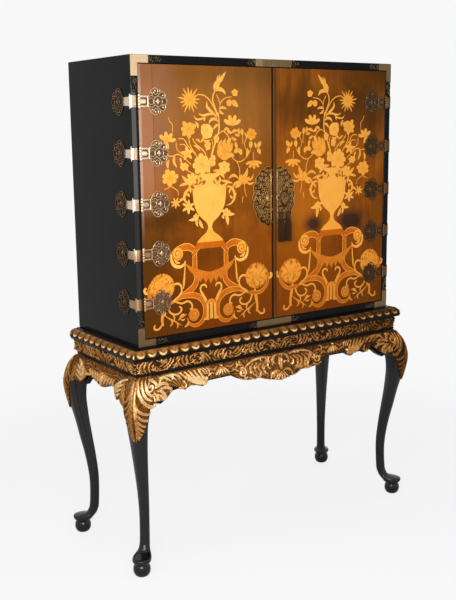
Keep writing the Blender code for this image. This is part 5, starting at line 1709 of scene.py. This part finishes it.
# Ribs of a knee below its coil in millimetres: where each leaves the stem, its fall, reach and width
KNEE_RIBS = (
    (566, 36, 60, 12), (553, 42, 55, 12), (538, 45, 49, 11), (522, 45, 43, 11), (506, 43, 37, 10),
    (490, 38, 30, 9), (474, 28, 20, 8),
)
RIB_SHAPE = ((0.0, 0.0), (0.08, 0.48), (0.33, 0.88), (0.70, 1.06), (1.0, 1.0))

# Leaves at the top of a knee in millimetres from its arris and up: points, width, height, ridges, count, end
KNEE_LEAVES = (
    (((4, 624), (2, 590), (2, 550), (4, 500), (2, 446)), 9, 0.95, 1, 50, 0.4),
    (((6, 620), (14, 590), (29, 567), (48, 551), (66, 546), (73, 554)), 14, 1.0, 2, 50, 0.4),
    (((18, 620), (27, 593), (41, 574), (62, 563)), 12, 1.0, 2, 40, 0.4),
    (((30, 620), (38, 597), (52, 582), (70, 575)), 11, 1.0, 2, 40, 0.4),
    (((42, 608), (47, 618), (60, 620), (71, 611), (76, 594)), 9, 1.0, 2, 30, 0.4),
)
KNEE_ROW = (((-84, 626), (-66, 615), (-46, 590)), ((0, -15), (0, -16), (2, -18)), range(5), 12, 0.85, 2)


def knee_strokes():
    """Acanthus of a knee in millimetres from its arris, along the face that ends the stand, and up from
    the floor: a stem down the arris, a coil at the top with arcs nested round it, ribs below that leave
    the stem downwards and curl out to the edge, and on the flank, counted negative, leaves that fall out."""
    strokes = [stroke(*spec) for spec in KNEE_LEAVES] + row_of_leaves(*KNEE_ROW)
    strokes.append((spiral((53, 600), 13, 4, 1.1, 2.2, 30), swell(30, 8, 10, 7), 1.0, 1))
    for up, drop, reach, width in KNEE_RIBS:
        rib = [(4 + a * reach, up - b * drop) for a, b in RIB_SHAPE]
        strokes.append(stroke(rib, width, 1.0, 2, 40, 0.5))
    for k in range(9):
        size = 1 - k / 11
        z = 622 - 19 * k
        fall = [(-3, z), (-8 * size - 3, z - 26), (-23 * size - 3, z - 50), (-50 * size, z - 68)]
        strokes.append(stroke(fall, 7 + 5 * size, 0.85, 2, 34, 0.3))
    return strokes


# Rows of a leg's shaft, and of the knee's skin; columns of the skin to each side of the arris
SHAFT_ROWS = 240
KNEE_ROWS = 170
KNEE_HALF = 70

# Outline of the knee's carving: heights in metres, and reach to each side in rays of the leg's ring
KNEE_OUTLINE = ((0.443, 0.452, 0.470, 0.500, 0.540, 0.580), (0.2, 3.2, 7.6, 11.6, 14.4, 16.2))
KNEE_TUCK = 0.003
KNEE_SKIN = 0.0015


def closed_shaft(rows):
    """Shaft of a leg: its rings closed on themselves, and shrunk to their middles at both ends."""
    shaft = np.concatenate([rows, rows[:, :1]], 1)
    foot, top = (np.broadcast_to(shaft[k].mean(0), shaft[k].shape)[None] for k in (0, -1))
    return np.concatenate([foot, shaft, top])


def knee_skin(rows, outward, strokes, depth):
    """Carved skin of a knee and its relief: the part of the shaft within the outline, raised along its
    normals by the carving over a ground of flutes, with the border let down except along the top."""
    level = np.linspace(rows[-1, 0, 2], KNEE_OUTLINE[0][0], KNEE_ROWS)
    at = np.interp(level, rows[:, 0, 2], np.arange(float(SHAFT_ROWS)))
    base = np.minimum(at.astype(int), SHAFT_ROWS - 2)
    share = (at - base)[:, None, None]
    knee = rows[base] * (1 - share) + rows[base + 1] * share
    reach = np.interp(level, *KNEE_OUTLINE) * (1 + 0.05 * np.abs(np.sin(level * 150)) * (level < 0.575))
    reach, level = reach[:, None], level[:, None]
    t = np.linspace(-1, 1, 2 * KNEE_HALF + 1)
    turn = np.sign(outward[0] * outward[1])
    skin = around_ring(knee, RAYS / 2 + reach * t * np.where(t * turn > 0, 1.18, 1.0))
    gap = np.linalg.norm(np.diff(skin, axis=1), axis=2)
    arc = np.concatenate([np.zeros((KNEE_ROWS, 1)), np.cumsum(gap, 1)], 1)
    across = (arc - arc[:, KNEE_HALF:KNEE_HALF + 1]) / MM * turn
    lobes = 4.5 * t * (0.75 + reach / 65) + 0.5 * np.sin(level * 85)
    ground = (0.24 + 0.16 * (level > 0.57)) * np.abs(np.sin(np.pi * lobes)) ** 0.7
    height = np.maximum(relief(across, np.broadcast_to(level, arc.shape) / MM, strokes), ground)
    normal = np.cross(np.gradient(skin, axis=0), np.gradient(skin, axis=1))
    normal /= np.maximum(np.linalg.norm(normal, axis=2, keepdims=True), 1e-12)
    normal *= np.sign((normal[..., :2] @ outward).sum())
    height = height * np.maximum(np.minimum(1, (1 - np.abs(t)) * 9), (level > 0.578) * 0.8)
    # Lowers the relief mark, so the gilding is darker, near the arris, on the flank side and towards the
    # lower end of the knee; near the arris this is painted shade that dims the highlight along it
    worn = 1.02 - 0.12 * np.exp(-(((across - 3) / 8) ** 2)) - 0.16 / (1 + np.exp(across / 4))
    worn = worn * (1 - 0.22 * np.clip((0.585 - level) / 0.05, 0, 1))
    return skin + normal * (0.0006 + depth * height)[..., None], {"relief": np.clip(height * worn, 0, 1)}


class CABINET_OT_legs(Operator):
    """Cabriole legs drawn smooth from the solids' rings, with gilt acanthus on the knees"""

    bl_idname = "cabinet.legs"
    bl_label = "Legs and knees"

    def execute(self, context):
        strokes = knee_strokes()
        lacquer = bpy.data.materials["leg_lacquer"]
        shafts = {}
        for place in ("front_left", "front_right", "back_left", "back_right"):
            rings, outward = leg_rings(f"leg_{place}")
            shafts[f"leg_{place}"] = curve(rings, SHAFT_ROWS)
            skin, marks = knee_skin(
                shafts[f"leg_{place}"], outward, strokes, context.scene.cabinet_sizes.knee_depth
            )
            towards = np.array([*outward, 0.0])
            carving(f"knee_carving_{place}", tucked(skin, towards, KNEE_TUCK), marks, KNEE_SKIN, towards)
        for name, rows in shafts.items():
            piece(f"shaft_{name}", [(closed_shaft(rows), {})], lacquer, "cabinet", "ebonised_wood", [name])
        return {"FINISHED"}


# Tassel in metres: radius and height of a bound head's outline from its middle
HEAD_OUTLINE = (
    (0.0, 0.003), (0.0035, 0.002), (0.0062, -0.001), (0.0078, -0.006), (0.0074, -0.011), (0.0055, -0.0145),
    (0.0066, -0.0155), (0.0066, -0.0175), (0.0056, -0.0185), (0.0066, -0.0195), (0.0066, -0.0215),
    (0.0054, -0.0225), (0.0, -0.0235),
)

# Radius of the cord, of a skirt at its binding and below it, and of a thread, which thins at both ends
CORD = 0.0012
SKIRT_TOP = 0.0070
SKIRT = 0.0112
THREAD = 0.00062
THREAD_TAPER = np.array([0.2, 1, 1, 1, 1, 1, 0.6])

# Angle from one thread to the next round the skirt, which spreads them evenly, in radians
GOLDEN_ANGLE = 2.39996


def skirt_threads(x, y, top, count, seed):
    """Threads of one skirt: they widen from the binding, each with a little sway and its own length."""
    chance = np.random.default_rng(seed)
    angle = np.arange(count) * GOLDEN_ANGLE
    ring = np.sqrt((np.arange(count) + 0.5) / count)
    lengths = 0.0745 + chance.uniform(-0.0012, 0.0008, count)
    s = np.linspace(0, 1, 7)
    threads = []
    for turn, far, length, sway in zip(angle, ring, lengths, chance.uniform(-0.25, 0.25, count)):
        radius = far * (SKIRT_TOP + (SKIRT - SKIRT_TOP) * np.minimum(1, s * 3) ** 0.6)
        bend = turn + sway * s
        path = np.stack([x + radius * np.cos(bend), y + radius * np.sin(bend), top - length * s], 1)
        threads.append((hose(path, THREAD_TAPER * THREAD, 4), {}))
    return threads


class CABINET_OT_tassel(Operator):
    """Twin silk tassel on a looped cord, with bound heads and cut skirts"""

    bl_idname = "cabinet.tassel"
    bl_label = "Tassel"

    def execute(self, context):
        count = context.scene.cabinet_sizes.thread_count
        low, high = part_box("tassel")
        middle = (low.x + high.x) / 2
        y = (low.y + high.y) / 2
        spread = (high.x - low.x) / 2 - 0.0115
        hang = high.z - 0.003
        head = low.z + 0.097
        patches = []
        for side in (-1, 1):
            x = middle + side * spread
            loop = [
                (middle, y, hang),
                (middle + side * 0.003, y - 0.004, hang - 0.003),
                (middle + side * 0.008, y - 0.002, hang - 0.013),
                (x, y, head + 0.004),
                (x, y, head - 0.004),
            ]
            patches.append((hose(curve(loop, 24), np.full(24, CORD), 10), {}))
            patches.append((turned(HEAD_OUTLINE, (x, y, head), 28), {}))
            patches += skirt_threads(x, y, head - 0.0215, count, 7 + side)
        piece("silk_tassel", patches, bpy.data.materials["silk_thread"], "tassel", "silk", ["tassel"])
        return {"FINISHED"}


class CABINET_OT_stage(Operator):
    """Camera, soft lights, white surroundings and a pale floor that keeps the shadow"""

    bl_idname = "cabinet.stage"
    bl_label = "Studio"

    def execute(self, context):
        self.camera(context.scene)
        self.lights(context.scene)
        self.surroundings(context.scene)
        self.floor(context.scene)
        context.scene.view_settings.view_transform = "Standard"
        return {"FINISHED"}

    def camera(self, scene):
        """Camera fitted to the photograph: where it stands and how it is turned."""
        yaw, pitch, roll = 0.6181, -0.1892, -0.0121
        made = bpy.data.objects.new("camera", bpy.data.cameras.new("camera"))
        scene.collection.objects.link(made)
        turn = Matrix.Rotation(-yaw, 4, "Z") @ Matrix.Rotation(math.pi / 2 + pitch, 4, "X")
        turn = turn @ Matrix.Rotation(roll, 4, "Z")
        made.matrix_world = Matrix.Translation((-1.855, -2.5219, 1.3765)) @ turn
        made.data.lens = 55.05
        made.data.sensor_width = 36.0
        made.data.clip_end = 60.0
        scene.camera = made

    def lights(self, scene):
        """Soft lamps: name, place, aim, width and height, power."""
        rig = (
            ("front_softbox", (-1.40, -1.75, 1.35), (-0.15, 0.0, 0.85), (1.2, 1.2), 43.0),
            ("left_softbox", (-3.4, -0.9, 2.6), (-0.3, 0.0, 0.8), (1.6, 1.6), 14.0),
            ("overhead", (0.3, 0.3, 4.2), (0.0, 0.0, 0.7), (3.0, 3.0), 30.0),
            ("edge_strip", (1.05, -2.8, 1.35), (-0.5, -0.18, 1.2), (0.22, 0.9), 1.6),
        )
        for name, place, aim, (wide, tall), power in rig:
            lamp = bpy.data.lights.new(name, "AREA")
            lamp.shape = "RECTANGLE"
            lamp.size = wide
            lamp.size_y = tall
            lamp.energy = power
            made = bpy.data.objects.new(name, lamp)
            scene.collection.objects.link(made)
            turn = (Vector(aim) - Vector(place)).to_track_quat("-Z", "Y").to_matrix().to_4x4()
            made.matrix_world = Matrix.Translation(place) @ turn

    def surroundings(self, scene):
        """White surroundings, brighter to the eye and in reflections than as a light."""
        scene.world = bpy.data.worlds.new("studio")
        scene.world.use_nodes = True
        tree = scene.world.node_tree
        path = tree.nodes.new("ShaderNodeLightPath")
        seen = Wire(tree, path.outputs["Is Camera Ray"])
        for ray in ("Is Glossy Ray", "Is Transmission Ray"):
            seen = seen.math("MAXIMUM", Wire(tree, path.outputs[ray]))
        ground = tree.nodes["Background"]
        ground.inputs["Color"].default_value = (1.0, 1.0, 1.0, 1.0)
        tree.links.new((seen * 0.62 + 0.32).socket, ground.inputs["Strength"])

    def floor(self, scene):
        """Pale floor that keeps the shadow and fades out with the distance from the middle."""
        made = Finish("pale_floor")
        pale_grey = scene.cabinet_colours.floor
        away = (made.x**2 + made.y**2) ** 0.5
        dust = made.noise((3, 3, 3), 4)
        colour = made.layers(pale_grey, (dust, [part * 0.97 for part in pale_grey]))
        made.shade(base_color=colour, roughness=dust * 0.1 + 0.6, specular_ior_level=0.1)
        clear = made.node("ShaderNodeBsdfTransparent")
        white = made.node("ShaderNodeEmission", sockets={"Color": (0.99, 0.99, 1.0)})
        seen = made.node("ShaderNodeLightPath", out="Is Camera Ray") * 0.80
        pale = made.node("ShaderNodeMixShader", sockets={0: seen, 2: white})
        made.tree.links.new(made.shader.outputs[0], pale.socket.node.inputs[1])
        blend = made.node("ShaderNodeMixShader", sockets={0: made.ease(away, 0.9, 2.3), 1: pale, 2: clear})
        made.tree.links.new(blend.socket, made.tree.nodes["Material Output"].inputs["Surface"])
        reach = np.linspace(-2.6, 2.6, 27)
        grid = np.dstack([*np.meshgrid(reach, reach, indexing="ij"), np.full((27, 27), -CLEAR)])
        mesh = bpy.data.meshes.new("floor")
        mesh.from_pydata(grid.reshape(-1, 3).tolist(), [], grid_faces(grid.shape).tolist())
        mesh.materials.append(made.material)
        ground = bpy.data.objects.new("floor", mesh)
        scene.collection.objects.link(ground)


class CABINET_PT_pieces(Panel):
    """Buttons that make the pieces, in the order in which they depend on each other"""

    bl_label = "Cabinet"
    bl_idname = "CABINET_PT_pieces"
    bl_space_type = "VIEW_3D"
    bl_region_type = "UI"
    bl_category = "Cabinet"

    def draw(self, context):
        for entry in PIECES:
            self.layout.operator(entry.bl_idname)
        for group in (context.scene.cabinet_colours, context.scene.cabinet_sizes):
            for key in group.__annotations__:
                self.layout.prop(group, key)


PIECES = [
    CABINET_OT_finishes,
    CABINET_OT_marquetry,
    CABINET_OT_hinges,
    CABINET_OT_escutcheons,
    CABINET_OT_gadroon,
    CABINET_OT_frieze,
    CABINET_OT_aprons,
    CABINET_OT_legs,
    CABINET_OT_tassel,
    CABINET_OT_stage,
]
CLASSES = [CabinetColours, CabinetSizes, *PIECES, CABINET_PT_pieces]


def register():
    """Add the classes and the two groups of settings to Blender."""
    for entry in CLASSES:
        bpy.utils.register_class(entry)
    bpy.types.Scene.cabinet_colours = PointerProperty(type=CabinetColours)
    bpy.types.Scene.cabinet_sizes = PointerProperty(type=CabinetSizes)


def unregister():
    """Take the settings and classes out again."""
    del bpy.types.Scene.cabinet_sizes
    del bpy.types.Scene.cabinet_colours
    for entry in reversed(CLASSES):
        bpy.utils.unregister_class(entry)


def main():
    """Make all pieces in order."""
    register()
    bpy.ops.cabinet.finishes()
    bpy.ops.cabinet.marquetry()
    bpy.ops.cabinet.hinges()
    bpy.ops.cabinet.escutcheons()
    bpy.ops.cabinet.gadroon()
    bpy.ops.cabinet.frieze()
    bpy.ops.cabinet.aprons()
    bpy.ops.cabinet.legs()
    bpy.ops.cabinet.tassel()
    bpy.ops.cabinet.stage()


if __name__ == "__main__":
    main()
